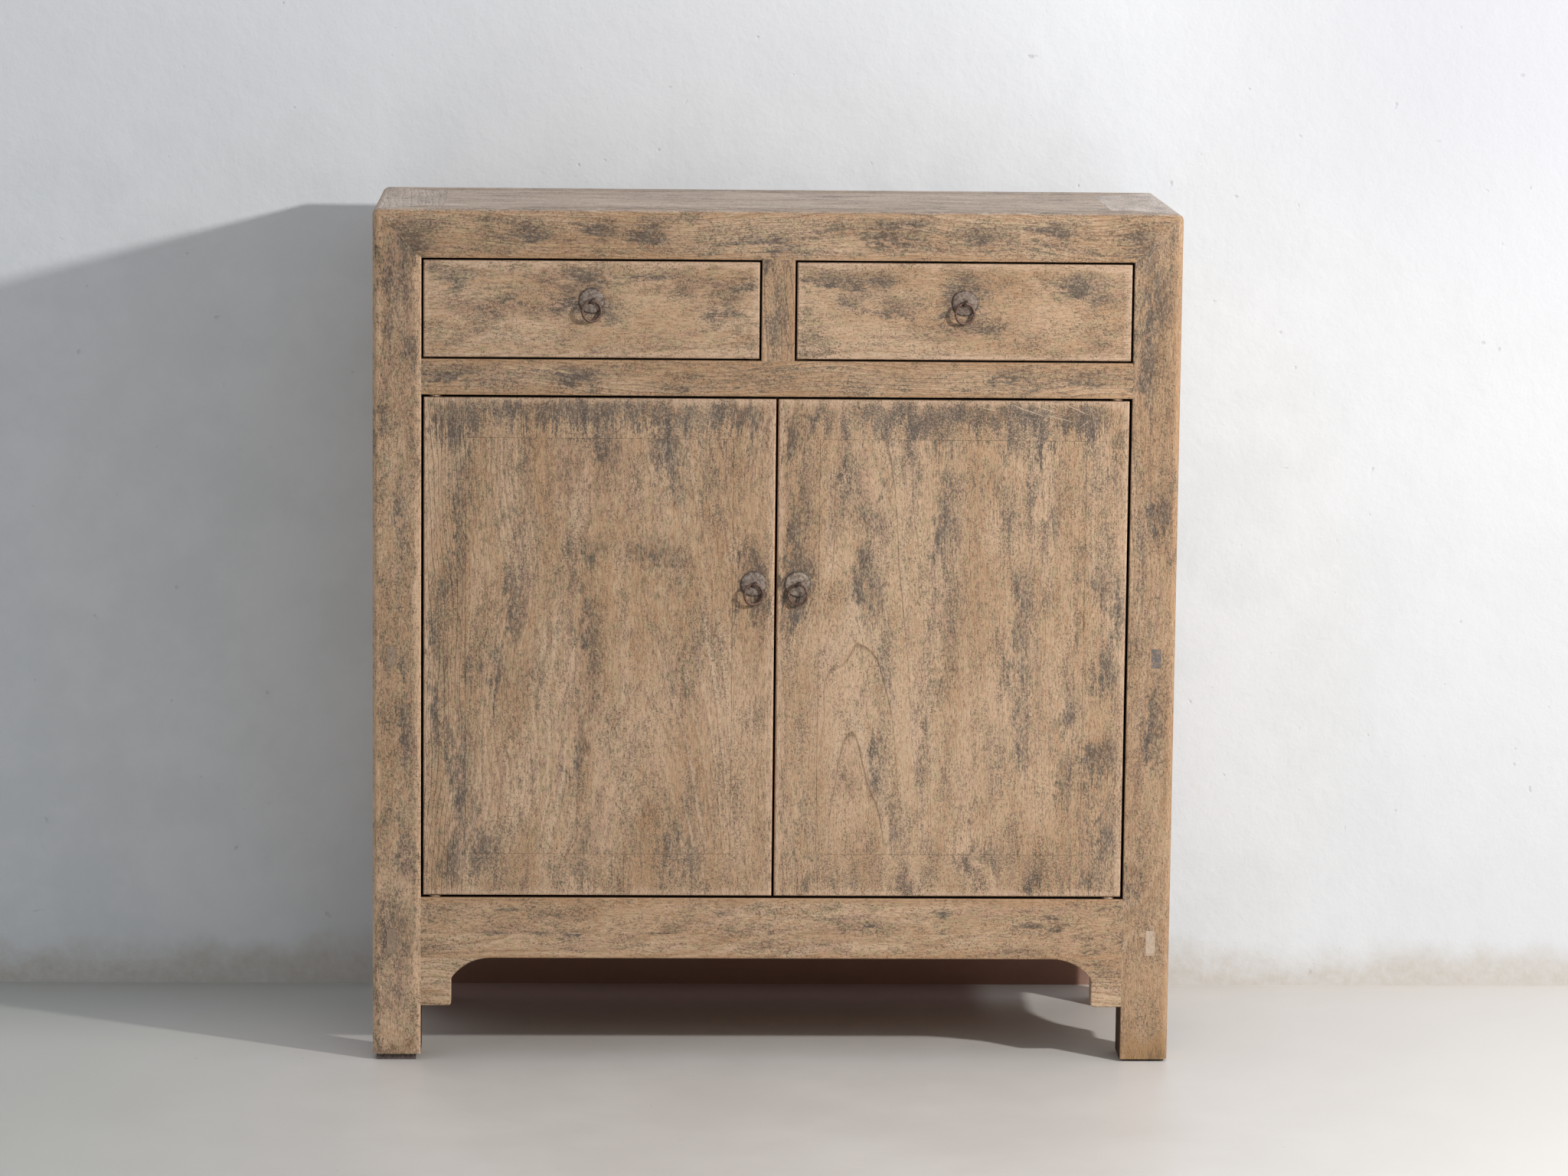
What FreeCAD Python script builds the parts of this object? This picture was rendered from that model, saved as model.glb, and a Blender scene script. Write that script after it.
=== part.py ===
import FreeCAD, Part

import math
import os

from FreeCAD import Vector

# A free-standing cabinet with two drawers over two pivot-hung doors, in millimetres.
# It is drawn with x = 0 on the middle, y = 0 on the front face and z = 0 on the floor.
# save() then moves every piece along y, so that the origin lies under the middle of the whole.

# Heights on the front, from the floor up
apron_clearance = 131.0
apron_height = 31.0
bottom_rail_height = 46.0
door_opening_height = 632.0
drawer_rail_height = 44.0
drawer_opening_height = 125.0
top_rail_height = 60.0

# Widths on the front, and the depth of the case
divider_width = 41.0
drawer_opening_width = 419.5
leg_width = 60.0
leg_depth = 60.0
case_depth = 375.0

# Thickness of the framing, from the outside face inwards
bottom_rail_depth = 40.0
divider_depth = 40.0
apron_thickness = 24.0
end_rail_width = 85.0
shelf_rail_thickness = 28.0
back_drawer_rail_thickness = 30.0
back_post_thickness = 24.0
back_post_width = 41.0

# Rounding worn on the outside of the case and round its openings
outer_edge_radius = 8.5
top_edge_radius = 8.0
opening_arris_radius = 1.5

# Hidden joints
fit_gap = 0.15
rest_gap = 0.3
tenon_shoulder = 6.0
tenon_thickness = 12.0
tenon_setback = 14.0
tenon_wall = 2.0
tongue_length = 8.0
side_tenon_setback = 18.0
side_tenon_thickness = 12.0
side_tenon_lift = 5.0
side_tenon_height = 32.0
shelf_tenon_height = 24.0
divider_tenon_length = 12.0

# Side and back panels, let into grooves
panel_setback = 4.0
panel_thickness = 11.0

# Top boards and the battens under them
top_board_thickness = 18.0
top_tongue_thickness = 6.0
board_gap = 0.3
batten_width = 36.0
batten_height = 24.0
batten_spacing = 360.0

# Brackets where the aprons meet the legs
bracket_drop = 61.0
bracket_foot_width = 38.0
bracket_arc_reach = 50.0
bracket_arc_drop = 26.0
bracket_toe_radius = 4.0
bracket_bend_radius = 9.0

# Pads under the legs, with one thicker pad under the short leg
pad_thickness = 3.0
thick_pad_thickness = 8.0
pad_width = 49.0
pad_edge_setback = 5.0

# Floor and shelf of the door compartment
floor_drop = 10.0
floor_thickness = 15.0
shelf_rail_height = 32.0
shelf_rise = 322.0
shelf_thickness = 15.0
shelf_front_setback = 40.0
shelf_clearance = 0.6

# Doors, which swing on turned wooden pivots
door_gap = 3.0
door_inset = 1.0
door_thickness = 24.0
door_arris_radius = 2.5
door_stile_width = 52.0
door_top_rail_height = 50.0
door_bottom_rail_height = 53.0
door_panel_thickness = 16.0
door_tongue_thickness = 7.0
door_tenon_length = 34.0
door_tenon_thickness = 8.0
pivot_radius = 8.0
pivot_clearance = 0.08
pivot_inset = 18.0
pivot_setback = 10.0
pivot_top_length = 12.0
pivot_foot_length = 10.0
pivot_lift_room = 2.0
door_stop_length = 300.0
door_stop_height = 12.0
door_stop_depth = 16.0

# Drawers and what they run on
drawer_gap = 2.5
drawer_front_thickness = 22.0
drawer_side_thickness = 12.0
drawer_lap = 12.0
drawer_side_drop = 11.0
drawer_back_drop = 8.0
drawer_bottom_rise = 8.0
drawer_bottom_thickness = 7.0
drawer_groove_depth = 6.0
runner_height = 22.0
runner_bearing = 25.0
runner_tongue_thickness = 8.0
guide_height = 20.0
guide_play = 0.5
stop_height = 14.0
stop_depth = 12.0
stop_width = 18.0

# Ring pulls on round plates, held by split pins
plate_radius = 16.5
plate_thickness = 1.2
plate_edge_radius = 0.5
ring_radius = 12.6
ring_wire_radius = 1.9
ring_play = 0.3
eye_wire_radius = 1.2
eye_standoff = 0.2
shank_radius = 1.6
shank_clearance = 0.2
clinch_reach = 13.0
clinch_width = 3.0
clinch_thickness = 1.5
door_pull_rise = 398.0
drawer_pull_rise = 11.0

# How far cutters run past the faces that they cut
overrun = 20.0
tolerance = 0.001

# Levels and half widths that follow from the sizes
bottom_rail_z = apron_clearance + apron_height
door_opening_z = bottom_rail_z + bottom_rail_height
drawer_rail_z = door_opening_z + door_opening_height
drawer_opening_z = drawer_rail_z + drawer_rail_height
top_rail_z = drawer_opening_z + drawer_opening_height
case_top = top_rail_z + top_rail_height
inner = divider_width / 2 + drawer_opening_width
half = inner + leg_width
back_leg_y = case_depth - leg_depth
eye_bore_radius = ring_wire_radius + ring_play
eye_radius = eye_bore_radius + eye_wire_radius
eye_y = door_inset - plate_thickness - eye_standoff - eye_radius - eye_wire_radius
front_reach = eye_radius + eye_wire_radius - eye_y
origin_shift = (front_reach - case_depth) / 2
pivot_x = -inner + pivot_inset
pivot_y = door_inset + pivot_setback

X, Y, Z = Vector(1, 0, 0), Vector(0, 1, 0), Vector(0, 0, 1)
pieces = {}


def box(x, y, z):
    """Block between two values on each axis."""
    low = Vector(min(x), min(y), min(z))
    size = Vector(max(x), max(y), max(z)) - low
    return Part.makeBox(size.x, size.y, size.z, low)


def grown_box(x, y, z, gap=fit_gap):
    """Block between two values on each axis, larger by a gap on all sides."""
    spans = [(min(pair) - gap, max(pair) + gap) for pair in (x, y, z)]
    return box(*spans)


def prism(points, direction):
    """Straight prism over a polygon."""
    wire = Part.makePolygon(points + points[:1])
    return Part.Face(wire).extrude(direction)


def mirror_x(shape):
    return shape.mirror(Vector(0, 0, 0), X)


def mirror_y(shape):
    return shape.mirror(Vector(0, case_depth / 2, 0), Y)


def mirrored(pair):
    """The same span on the other side of the middle."""
    return (-pair[1], -pair[0])


def joined(first, *others):
    return first.multiFuse(list(others)).removeSplitter()


def carved(shape, cutters):
    return shape.cut(cutters) if cutters else shape


def save(name, *solids):
    """Write one node, moved to its place in the part's own frame."""
    found = [solid for shape in solids for solid in shape.Solids]
    shape = found[0] if len(found) == 1 else Part.makeCompound(found)
    shape = shape.translated(Vector(0, origin_shift, 0))
    pieces[name] = shape
    shape.exportStep("parts/" + name + ".step")


def edges_in_plane(shape, axis, value, limit):
    """Edges that lie in a plane square to an axis and satisfy a test on their box."""
    low, high = {"x": ("XMin", "XMax"), "y": ("YMin", "YMax"), "z": ("ZMin", "ZMax")}[axis]
    found = []
    for edge in shape.Edges:
        bounds = edge.BoundBox
        reach = max(abs(getattr(bounds, low) - value), abs(getattr(bounds, high) - value))
        if reach < tolerance and limit(bounds):
            found.append(edge)
    return found


# Outline of the case


def arch_cutter(span, wall, to_3d):
    """Opening below an apron, with a bracket in each upper corner.

    span is the width between the legs, wall the depth of the cut, and to_3d places a point."""
    toe = span[0] + bracket_foot_width
    toe_z = apron_clearance - bracket_drop
    bend_z = apron_clearance - bracket_arc_drop
    crown = toe + bracket_arc_reach
    sweep = 2 * math.atan2(bracket_arc_drop, bracket_arc_reach)
    radius = bracket_arc_reach / math.sin(sweep)
    middle = (crown - radius * math.sin(sweep / 2), apron_clearance - radius * (1 - math.cos(sweep / 2)))
    centre = sum(span) / 2

    def both(point):
        return to_3d(point[0], point[1]), to_3d(2 * centre - point[0], point[1])

    ground, ground_far = both((span[0], -overrun))
    heel, heel_far = both((span[0], toe_z))
    toe_point, toe_far = both((toe, toe_z))
    bend, bend_far = both((toe, bend_z))
    middle_point, middle_far = both(middle)
    crown_point, crown_far = both((crown, apron_clearance))
    edges = [
        Part.makeLine(ground, heel),
        Part.makeLine(heel, toe_point),
        Part.makeLine(toe_point, bend),
        Part.Arc(bend, middle_point, crown_point).toShape(),
        Part.makeLine(crown_point, crown_far),
        Part.Arc(crown_far, middle_far, bend_far).toShape(),
        Part.makeLine(bend_far, toe_far),
        Part.makeLine(toe_far, heel_far),
        Part.makeLine(heel_far, ground_far),
        Part.makeLine(ground_far, ground),
    ]
    cutter = Part.Face(Part.Wire(edges)).extrude(wall)
    rounded = [(toe_point, bracket_toe_radius), (bend, bracket_bend_radius)]
    rounded += [(toe_far, bracket_toe_radius), (bend_far, bracket_bend_radius)]
    for corner, size in rounded:
        cutter = cutter.makeFillet(size, [edge for edge in cutter.Edges if is_ridge(edge, corner, wall)])
    return cutter


def is_ridge(edge, corner, direction):
    """Whether an edge is the straight one that runs from a corner along a direction."""
    ends = [vertex.Point for vertex in edge.Vertexes]
    near = min(end.distanceToPoint(corner) for end in ends)
    far = min(end.distanceToPoint(corner + direction) for end in ends)
    return max(near, far) < tolerance


def case_outline():
    """The whole case as one rounded block, with the openings of its four sides sunk into it."""
    case = box((-half, half), (0, case_depth), (0, case_top))
    upright = [edge for edge in case.Edges if edge.BoundBox.ZLength > case_top / 2]
    case = case.makeFillet(outer_edge_radius, upright)
    case = case.makeFillet(top_edge_radius, edges_in_plane(case, "z", case_top, lambda bounds: True))

    drawer_span = (divider_width / 2, inner)
    drawer_z = (drawer_opening_z, top_rail_z)
    front_y = (-overrun, leg_depth)
    back_y = (case_depth - back_post_thickness, case_depth + overrun)
    side_y = (leg_depth, back_leg_y)
    window_z = (door_opening_z, top_rail_z)
    back_span = (back_post_width / 2, inner)
    cutters = [
        box(drawer_span, front_y, drawer_z),
        box(mirrored(drawer_span), front_y, drawer_z),
        box((-inner, inner), front_y, (door_opening_z, drawer_rail_z)),
        box(back_span, back_y, window_z),
        box(mirrored(back_span), back_y, window_z),
        box((-inner, inner), back_y, (-overrun, apron_clearance)),
        box((half - panel_setback, half + overrun), side_y, window_z),
        box((-half - overrun, -half + panel_setback), side_y, window_z),
        arch_cutter((-inner, inner), Y * (leg_depth + overrun), lambda s, z: Vector(s, -overrun, z)),
        arch_cutter(side_y, X * (leg_width + overrun), lambda s, z: Vector(-half - overrun, s, z)),
        arch_cutter(side_y, X * (leg_width + overrun), lambda s, z: Vector(half - leg_width, s, z)),
    ]
    case = case.cut(cutters)

    def inside(bounds):
        return bounds.ZMax > tolerance and bounds.ZMax < case_top - top_edge_radius - tolerance

    def off_corner(low, high, extent):
        return low > outer_edge_radius - extent + tolerance and high < extent - outer_edge_radius - tolerance

    middle = case_depth / 2
    for value in (0, case_depth):
        rims = edges_in_plane(case, "y", value, lambda b: inside(b) and off_corner(b.XMin, b.XMax, half))
        case = case.makeFillet(opening_arris_radius, rims)
    for value in (-half, half):
        rims = edges_in_plane(
            case, "x", value, lambda b: inside(b) and off_corner(b.YMin - middle, b.YMax - middle, middle)
        )
        case = case.makeFillet(opening_arris_radius, rims)
    return case


# Corner joint, where a leg, a long top rail and an end rail meet in three mitres


def corner_parts():
    """Shares of the front left corner that belong to the long rail and to the end rail."""
    left, right = -half, -inner
    top_left, top_right, low_right = (left, case_top), (right, case_top), (right, top_rail_z)
    beside_leg = prism([Vector(x, 0, z) for x, z in (top_left, top_right, low_right)], Y * leg_depth)
    plan_long = [Vector(x, y, top_rail_z) for x, y in ((left, 0), (right, 0), (right, leg_depth))]
    long_part = beside_leg.common(prism(plan_long, Z * top_rail_height))
    end_corners = ((0, case_top), (leg_depth, case_top), (leg_depth, top_rail_z))
    end_face = [Vector(left, y, z) for y, z in end_corners]
    plan_end = [Vector(x, y, top_rail_z) for x, y in ((left, 0), (left, leg_depth), (right, leg_depth))]
    end_part = prism(end_face, X * leg_width).common(prism(plan_end, Z * top_rail_height))
    return long_part, end_part


# Tenons and grooves that more than one piece shares


def across_tenons(y, z):
    """The two stub tenons of a rail that runs across the case, as spans."""
    length = leg_width - side_tenon_setback - side_tenon_thickness - tenon_wall
    heights = (z[0] + tenon_shoulder, z[1] - tenon_shoulder)
    left = (-inner - length, -inner)
    return [(left, y, heights), (mirrored(left), y, heights)]


def through_tenons(height):
    """The two tenons of the left side rail, which show on the faces of the legs."""
    x = (-half + side_tenon_setback, -half + side_tenon_setback + side_tenon_thickness)
    return [(x, (0, leg_depth), height), (x, (back_leg_y, case_depth), height)]


front_tenon_y = (tenon_setback, tenon_setback + tenon_thickness)
back_tenon_y = (case_depth - tenon_setback - tenon_thickness, case_depth - tenon_setback)
back_drawer_rail_y = (back_leg_y, back_leg_y + back_drawer_rail_thickness)
back_drawer_tenon_y = (
    sum(back_drawer_rail_y) / 2 - tenon_thickness / 2,
    sum(back_drawer_rail_y) / 2 + tenon_thickness / 2,
)
bottom_rail_span_z = (bottom_rail_z, door_opening_z)
low_rail_span_z = (apron_clearance, door_opening_z)
drawer_rail_span_z = (drawer_rail_z, drawer_opening_z)
side_tenon_z = (apron_clearance + side_tenon_lift, apron_clearance + side_tenon_lift + side_tenon_height)
shelf_z = door_opening_z + shelf_rise
shelf_rail_z = (shelf_z - shelf_rail_height, shelf_z)
shelf_tenon_z = (
    sum(shelf_rail_z) / 2 - shelf_tenon_height / 2,
    sum(shelf_rail_z) / 2 + shelf_tenon_height / 2,
)


def mortises():
    """Cuts in the legs for every rail."""
    spans = across_tenons(front_tenon_y, drawer_rail_span_z)
    spans += across_tenons(front_tenon_y, bottom_rail_span_z)
    spans += across_tenons(back_tenon_y, low_rail_span_z)
    spans += across_tenons(back_drawer_tenon_y, drawer_rail_span_z)
    left = through_tenons(side_tenon_z) + through_tenons(shelf_tenon_z)
    spans += left + [(mirrored(x), y, z) for x, y, z in left]
    return [grown_box(*span) for span in spans]


def side_panel_blank(gap=0.0):
    x = (-half + panel_setback, -half + panel_setback + panel_thickness)
    y = (leg_depth - tongue_length, back_leg_y + tongue_length)
    return grown_box(x, y, (door_opening_z - tongue_length, top_rail_z + tongue_length), gap)


def back_panel_blank(gap=0.0):
    x = (-inner - tongue_length, -back_post_width / 2 + tongue_length)
    y = (case_depth - panel_setback - panel_thickness, case_depth - panel_setback)
    return grown_box(x, y, (door_opening_z - tongue_length, top_rail_z + tongue_length), gap)


def panel_grooves():
    side = side_panel_blank(fit_gap)
    back = back_panel_blank(fit_gap)
    return [side, mirror_x(side), back, mirror_x(back)]


def floor_blank(gap=0.0):
    """Floor board with its tongues, notched round the legs."""
    reach = half - bottom_rail_depth + tongue_length
    depths = (bottom_rail_depth - tongue_length, case_depth - bottom_rail_depth + tongue_length)
    top = door_opening_z - floor_drop
    board = grown_box((-reach, reach), depths, (top - floor_thickness, top), gap)
    notch = inner - rest_gap
    corner = box((-half, -notch), (0, leg_depth + rest_gap), (top - floor_thickness - overrun, top + overrun))
    corners = [corner, mirror_x(corner), mirror_y(corner), mirror_x(mirror_y(corner))]
    return board.cut(corners)


def top_tongues(gap=0.0):
    """Tongue round the field of the top, as one plate."""
    middle = case_top - top_board_thickness / 2
    z = (middle - top_tongue_thickness / 2, middle + top_tongue_thickness / 2)
    reach = half - end_rail_width + tongue_length
    return grown_box((-reach, reach), (leg_depth - tongue_length, back_leg_y + tongue_length), z, gap)


def batten_spans():
    """Two battens under the top boards, with their ends let into the long rails."""
    z = (case_top - top_board_thickness - batten_height, case_top - top_board_thickness)
    right = (batten_spacing / 2 - batten_width / 2, batten_spacing / 2 + batten_width / 2)
    return [(x, (leg_depth - tongue_length, back_leg_y + tongue_length), z) for x in (right, mirrored(right))]


def divider_tenons():
    y = (divider_depth / 2 - tenon_thickness / 2, divider_depth / 2 + tenon_thickness / 2)
    x = (-divider_width / 2 + tenon_shoulder, divider_width / 2 - tenon_shoulder)
    below = (drawer_opening_z - divider_tenon_length, drawer_opening_z)
    above = (top_rail_z, top_rail_z + divider_tenon_length)
    return [(x, y, below), (x, y, above)]


runner_z = (drawer_opening_z - runner_height, drawer_opening_z)
drawer_outer_x = -inner + drawer_gap
drawer_inner_x = -divider_width / 2 - drawer_gap
side_rail_x = -half + panel_setback + panel_thickness + rest_gap


def runner_spans():
    """Left, middle and right boards that the drawers run on."""
    left = (side_rail_x, drawer_outer_x + runner_bearing)
    middle = (drawer_inner_x - runner_bearing, -drawer_inner_x + runner_bearing)
    return [(x, (leg_depth, back_leg_y), runner_z) for x in (left, middle, mirrored(left))]


def runner_tongues():
    """Stub tongues of the runners in the rails before and behind them."""
    middle = sum(runner_z) / 2
    z = (middle - runner_tongue_thickness / 2, middle + runner_tongue_thickness / 2)
    y = (leg_depth - tongue_length, back_leg_y + tongue_length)
    left = (-inner + tenon_shoulder, drawer_outer_x + runner_bearing - tenon_shoulder)
    reach = runner_bearing - drawer_inner_x - tenon_shoulder
    middle_x = (-reach, reach)
    return [(x, y, z) for x in (left, middle_x, mirrored(left))]


def pivot_sockets():
    """Round sockets above and below the left door."""
    radius = pivot_radius + pivot_clearance
    above = pivot_top_length + pivot_lift_room
    top = Part.makeCylinder(radius, above, Vector(pivot_x, pivot_y, drawer_rail_z))
    below = pivot_foot_length + rest_gap
    foot = Part.makeCylinder(radius, below + overrun, Vector(pivot_x, pivot_y, door_opening_z - below))
    return top, foot


# Carcass


def make_legs(case, long_part, end_part):
    cuts = mortises() + panel_grooves()
    column = box((-half, -inner), (0, leg_depth), (0, case_top)).cut([long_part, end_part])
    for back in (False, True):
        for right in (False, True):
            name = "leg_" + ("back" if back else "front") + ("_right" if right else "_left")
            place = mirror_y(column) if back else column
            place = mirror_x(place) if right else place
            lift = pad_thickness if back or right else thick_pad_thickness
            below = box((-half, half), (0, case_depth), (-overrun, lift))
            save(name, carved(place.common(case), cuts + [below]))


def make_foot_pads():
    """Square pads, set in from the outer corner of each leg."""
    x = (-half + pad_edge_setback, -half + pad_edge_setback + pad_width)
    y = (pad_edge_setback, pad_edge_setback + pad_width)
    thin = box(x, y, (0, pad_thickness))
    save("foot_pad_front_left", box(x, y, (0, thick_pad_thickness)))
    save("foot_pads", mirror_x(thin), mirror_y(thin), mirror_x(mirror_y(thin)))


def make_top_rails(case, long_part, end_part):
    grooves = panel_grooves() + [top_tongues(fit_gap)] + [grown_box(*span) for span in batten_spans()]
    grooves += [grown_box(*span) for span in divider_tenons()]
    z = (top_rail_z, case_top)
    long_rail = joined(box((-inner, inner), (0, leg_depth), z), long_part, mirror_x(long_part))
    save("top_rail_front", carved(long_rail.common(case), grooves))
    save("top_rail_back", carved(mirror_y(long_rail).common(case), grooves))
    bar = box((-half, -half + end_rail_width), (leg_depth, back_leg_y), z)
    end_rail = joined(bar, end_part, mirror_y(end_part))
    save("top_rail_left", carved(end_rail.common(case), grooves))
    save("top_rail_right", carved(mirror_x(end_rail).common(case), grooves))


def make_top_boards():
    """Two boards that lie flush in the frame of the top."""
    reach = half - end_rail_width - board_gap
    middle = case_depth / 2
    z = (case_top - top_board_thickness, case_top)
    field = box((-reach, reach), (leg_depth + board_gap, back_leg_y - board_gap), z)
    blank = joined(field, top_tongues())
    front_half = box((-half, half), (0, middle - board_gap / 2), z)
    save("top_board_front", blank.common(front_half))
    save("top_board_back", blank.common(mirror_y(front_half)))
    save("top_battens", *[box(*span) for span in batten_spans()])


def make_front_rails(case):
    across = (-inner, inner)
    top_socket, foot_socket = pivot_sockets()
    tongues = [grown_box(*span) for span in runner_tongues()]
    divider_mortises = [grown_box(*span) for span in divider_tenons()]

    rail = box(across, (0, leg_depth), drawer_rail_span_z).common(case)
    tenons = [box(*span) for span in across_tenons(front_tenon_y, drawer_rail_span_z)]
    cuts = [top_socket, mirror_x(top_socket)] + tongues + divider_mortises
    save("drawer_rail", carved(joined(rail, *tenons), cuts))

    rail = box(across, (0, bottom_rail_depth), bottom_rail_span_z).common(case)
    tenons = [box(*span) for span in across_tenons(front_tenon_y, bottom_rail_span_z)]
    cuts = [foot_socket, mirror_x(foot_socket), floor_blank(fit_gap)]
    save("bottom_rail_front", carved(joined(rail, *tenons), cuts))

    post = box((-divider_width / 2, divider_width / 2), (0, divider_depth), (drawer_opening_z, top_rail_z))
    save("drawer_divider", joined(post.common(case), *[box(*span) for span in divider_tenons()]))


def make_aprons(case):
    """Apron strip under the front rail, and the brackets at the ends of three aprons."""
    strip_z = (apron_clearance, bottom_rail_z)
    save("apron_front", box((-inner, inner), (0, apron_thickness), strip_z).common(case))
    bracket_z = (apron_clearance - bracket_drop, apron_clearance)
    reach = bracket_foot_width + bracket_arc_reach
    front = box((-inner, -inner + reach), (0, apron_thickness), bracket_z)
    save("front_brackets", front.common(case), mirror_x(front).common(case))
    side = box((-half, -half + apron_thickness), (leg_depth, leg_depth + reach), bracket_z)
    places = [side, mirror_x(side), mirror_y(side), mirror_x(mirror_y(side))]
    save("side_brackets", *[place.common(case) for place in places])


def make_side_frames(case):
    """Low rails, shelf rails and panels of the two sides."""
    grooves = panel_grooves() + [floor_blank(fit_gap)]
    y = (leg_depth, back_leg_y)
    low = box((-half, -half + bottom_rail_depth), y, low_rail_span_z)
    low_tenons = [box(*span) for span in through_tenons(side_tenon_z)]
    shelf_rail = box((side_rail_x, side_rail_x + shelf_rail_thickness), y, shelf_rail_z)
    shelf_tenons = [box(*span) for span in through_tenons(shelf_tenon_z)]
    shelf_rail = joined(shelf_rail, *shelf_tenons)
    save("side_rail_left", carved(joined(low.common(case), *low_tenons), grooves))
    save("side_rail_right", carved(joined(mirror_x(low).common(case), *map(mirror_x, low_tenons)), grooves))
    save("shelf_rail_left", shelf_rail)
    save("shelf_rail_right", mirror_x(shelf_rail))
    save("side_panel_left", side_panel_blank())
    save("side_panel_right", mirror_x(side_panel_blank()))


def make_back(case):
    """Low rail, post, inner drawer rail and two panels of the back."""
    across = (-inner, inner)
    low = box(across, (case_depth - bottom_rail_depth, case_depth), low_rail_span_z).common(case)
    tenons = [box(*span) for span in across_tenons(back_tenon_y, low_rail_span_z)]
    save("back_rail_low", carved(joined(low, *tenons), panel_grooves() + [floor_blank(fit_gap)]))
    post_x = (-back_post_width / 2, back_post_width / 2)
    post = box(post_x, (case_depth - back_post_thickness, case_depth), (door_opening_z, top_rail_z))
    save("back_post", carved(post.common(case), panel_grooves()))
    rail = box(across, back_drawer_rail_y, drawer_rail_span_z)
    tenons = [box(*span) for span in across_tenons(back_drawer_tenon_y, drawer_rail_span_z)]
    save("back_drawer_rail", carved(joined(rail, *tenons), [grown_box(*span) for span in runner_tongues()]))
    save("back_panel_left", back_panel_blank())
    save("back_panel_right", mirror_x(back_panel_blank()))


def make_floor_and_shelf():
    save("floor_board", floor_blank())
    z = (shelf_z, shelf_z + shelf_thickness)
    ends = -side_rail_x - shelf_clearance
    wide = box((-ends, ends), (leg_depth + shelf_clearance, back_leg_y - shelf_clearance), z)
    between = inner - shelf_clearance
    back = case_depth - back_post_thickness - shelf_clearance
    save("shelf", joined(wide, box((-between, between), (shelf_front_setback, back), z)))


def make_drawer_supports():
    """Runners, guides beside the drawers and stops behind them."""
    runners = []
    for span, tongue in zip(runner_spans(), runner_tongues()):
        runners.append(joined(box(*span), box(*tongue)))
    save("drawer_runners", *runners)
    y = (leg_depth, back_leg_y)
    z = (drawer_opening_z, drawer_opening_z + guide_height)
    left = (side_rail_x, drawer_outer_x - guide_play)
    middle = (drawer_inner_x + guide_play, -drawer_inner_x - guide_play)
    save("drawer_guides", *[box(x, y, z) for x in (left, middle, mirrored(left))])
    z = (drawer_opening_z, drawer_opening_z + stop_height)
    y = (back_leg_y - stop_depth, back_leg_y)
    near = (drawer_inner_x - guide_play - stop_width, drawer_inner_x - guide_play)
    far = (drawer_outer_x + guide_play, drawer_outer_x + guide_play + stop_width)
    save("drawer_stops", *[box(x, y, z) for x in (far, near, mirrored(near), mirrored(far))])


def make_door_stop():
    """Strip under the drawer rail that both doors close against."""
    y = door_inset + door_thickness + rest_gap
    x = (-door_stop_length / 2, door_stop_length / 2)
    save("door_stop", box(x, (y, y + door_stop_depth), (drawer_rail_z - door_stop_height, drawer_rail_z)))


# Ring pulls


def pull_cutter(x, z, depth):
    """Hole for the shank of a split pin."""
    return Part.makeCylinder(shank_radius + shank_clearance, depth + 2 * overrun, Vector(x, -overrun, z), Y)


def make_pull(prefix, x, z, board_thickness):
    """Plate with its split pin as two solids of one node, and the ring as a node of its own."""
    plate = Part.makeCylinder(plate_radius, plate_thickness, Vector(x, door_inset - plate_thickness, z), Y)
    rim = edges_in_plane(plate, "y", door_inset - plate_thickness, lambda bounds: True)
    plate = plate.makeFillet(plate_edge_radius, rim).cut(pull_cutter(x, z, plate_thickness))
    eye = Part.makeTorus(eye_radius, eye_wire_radius, Vector(x, eye_y, z), X)
    start = eye_y + eye_radius
    back = door_inset + board_thickness
    shank = Part.makeCylinder(shank_radius, back + clinch_thickness - start, Vector(x, start, z), Y)
    width = (x - clinch_width / 2, x + clinch_width / 2)
    clinch = box(width, (back, back + clinch_thickness), (z - clinch_reach, z + clinch_reach))
    save(prefix + "_pull_plate", plate, joined(eye, shank, clinch))
    ring_centre = Vector(x, eye_y, z - ring_radius)
    save(prefix + "_ring", Part.makeTorus(ring_radius, ring_wire_radius, ring_centre, Y))


# Doors


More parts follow.
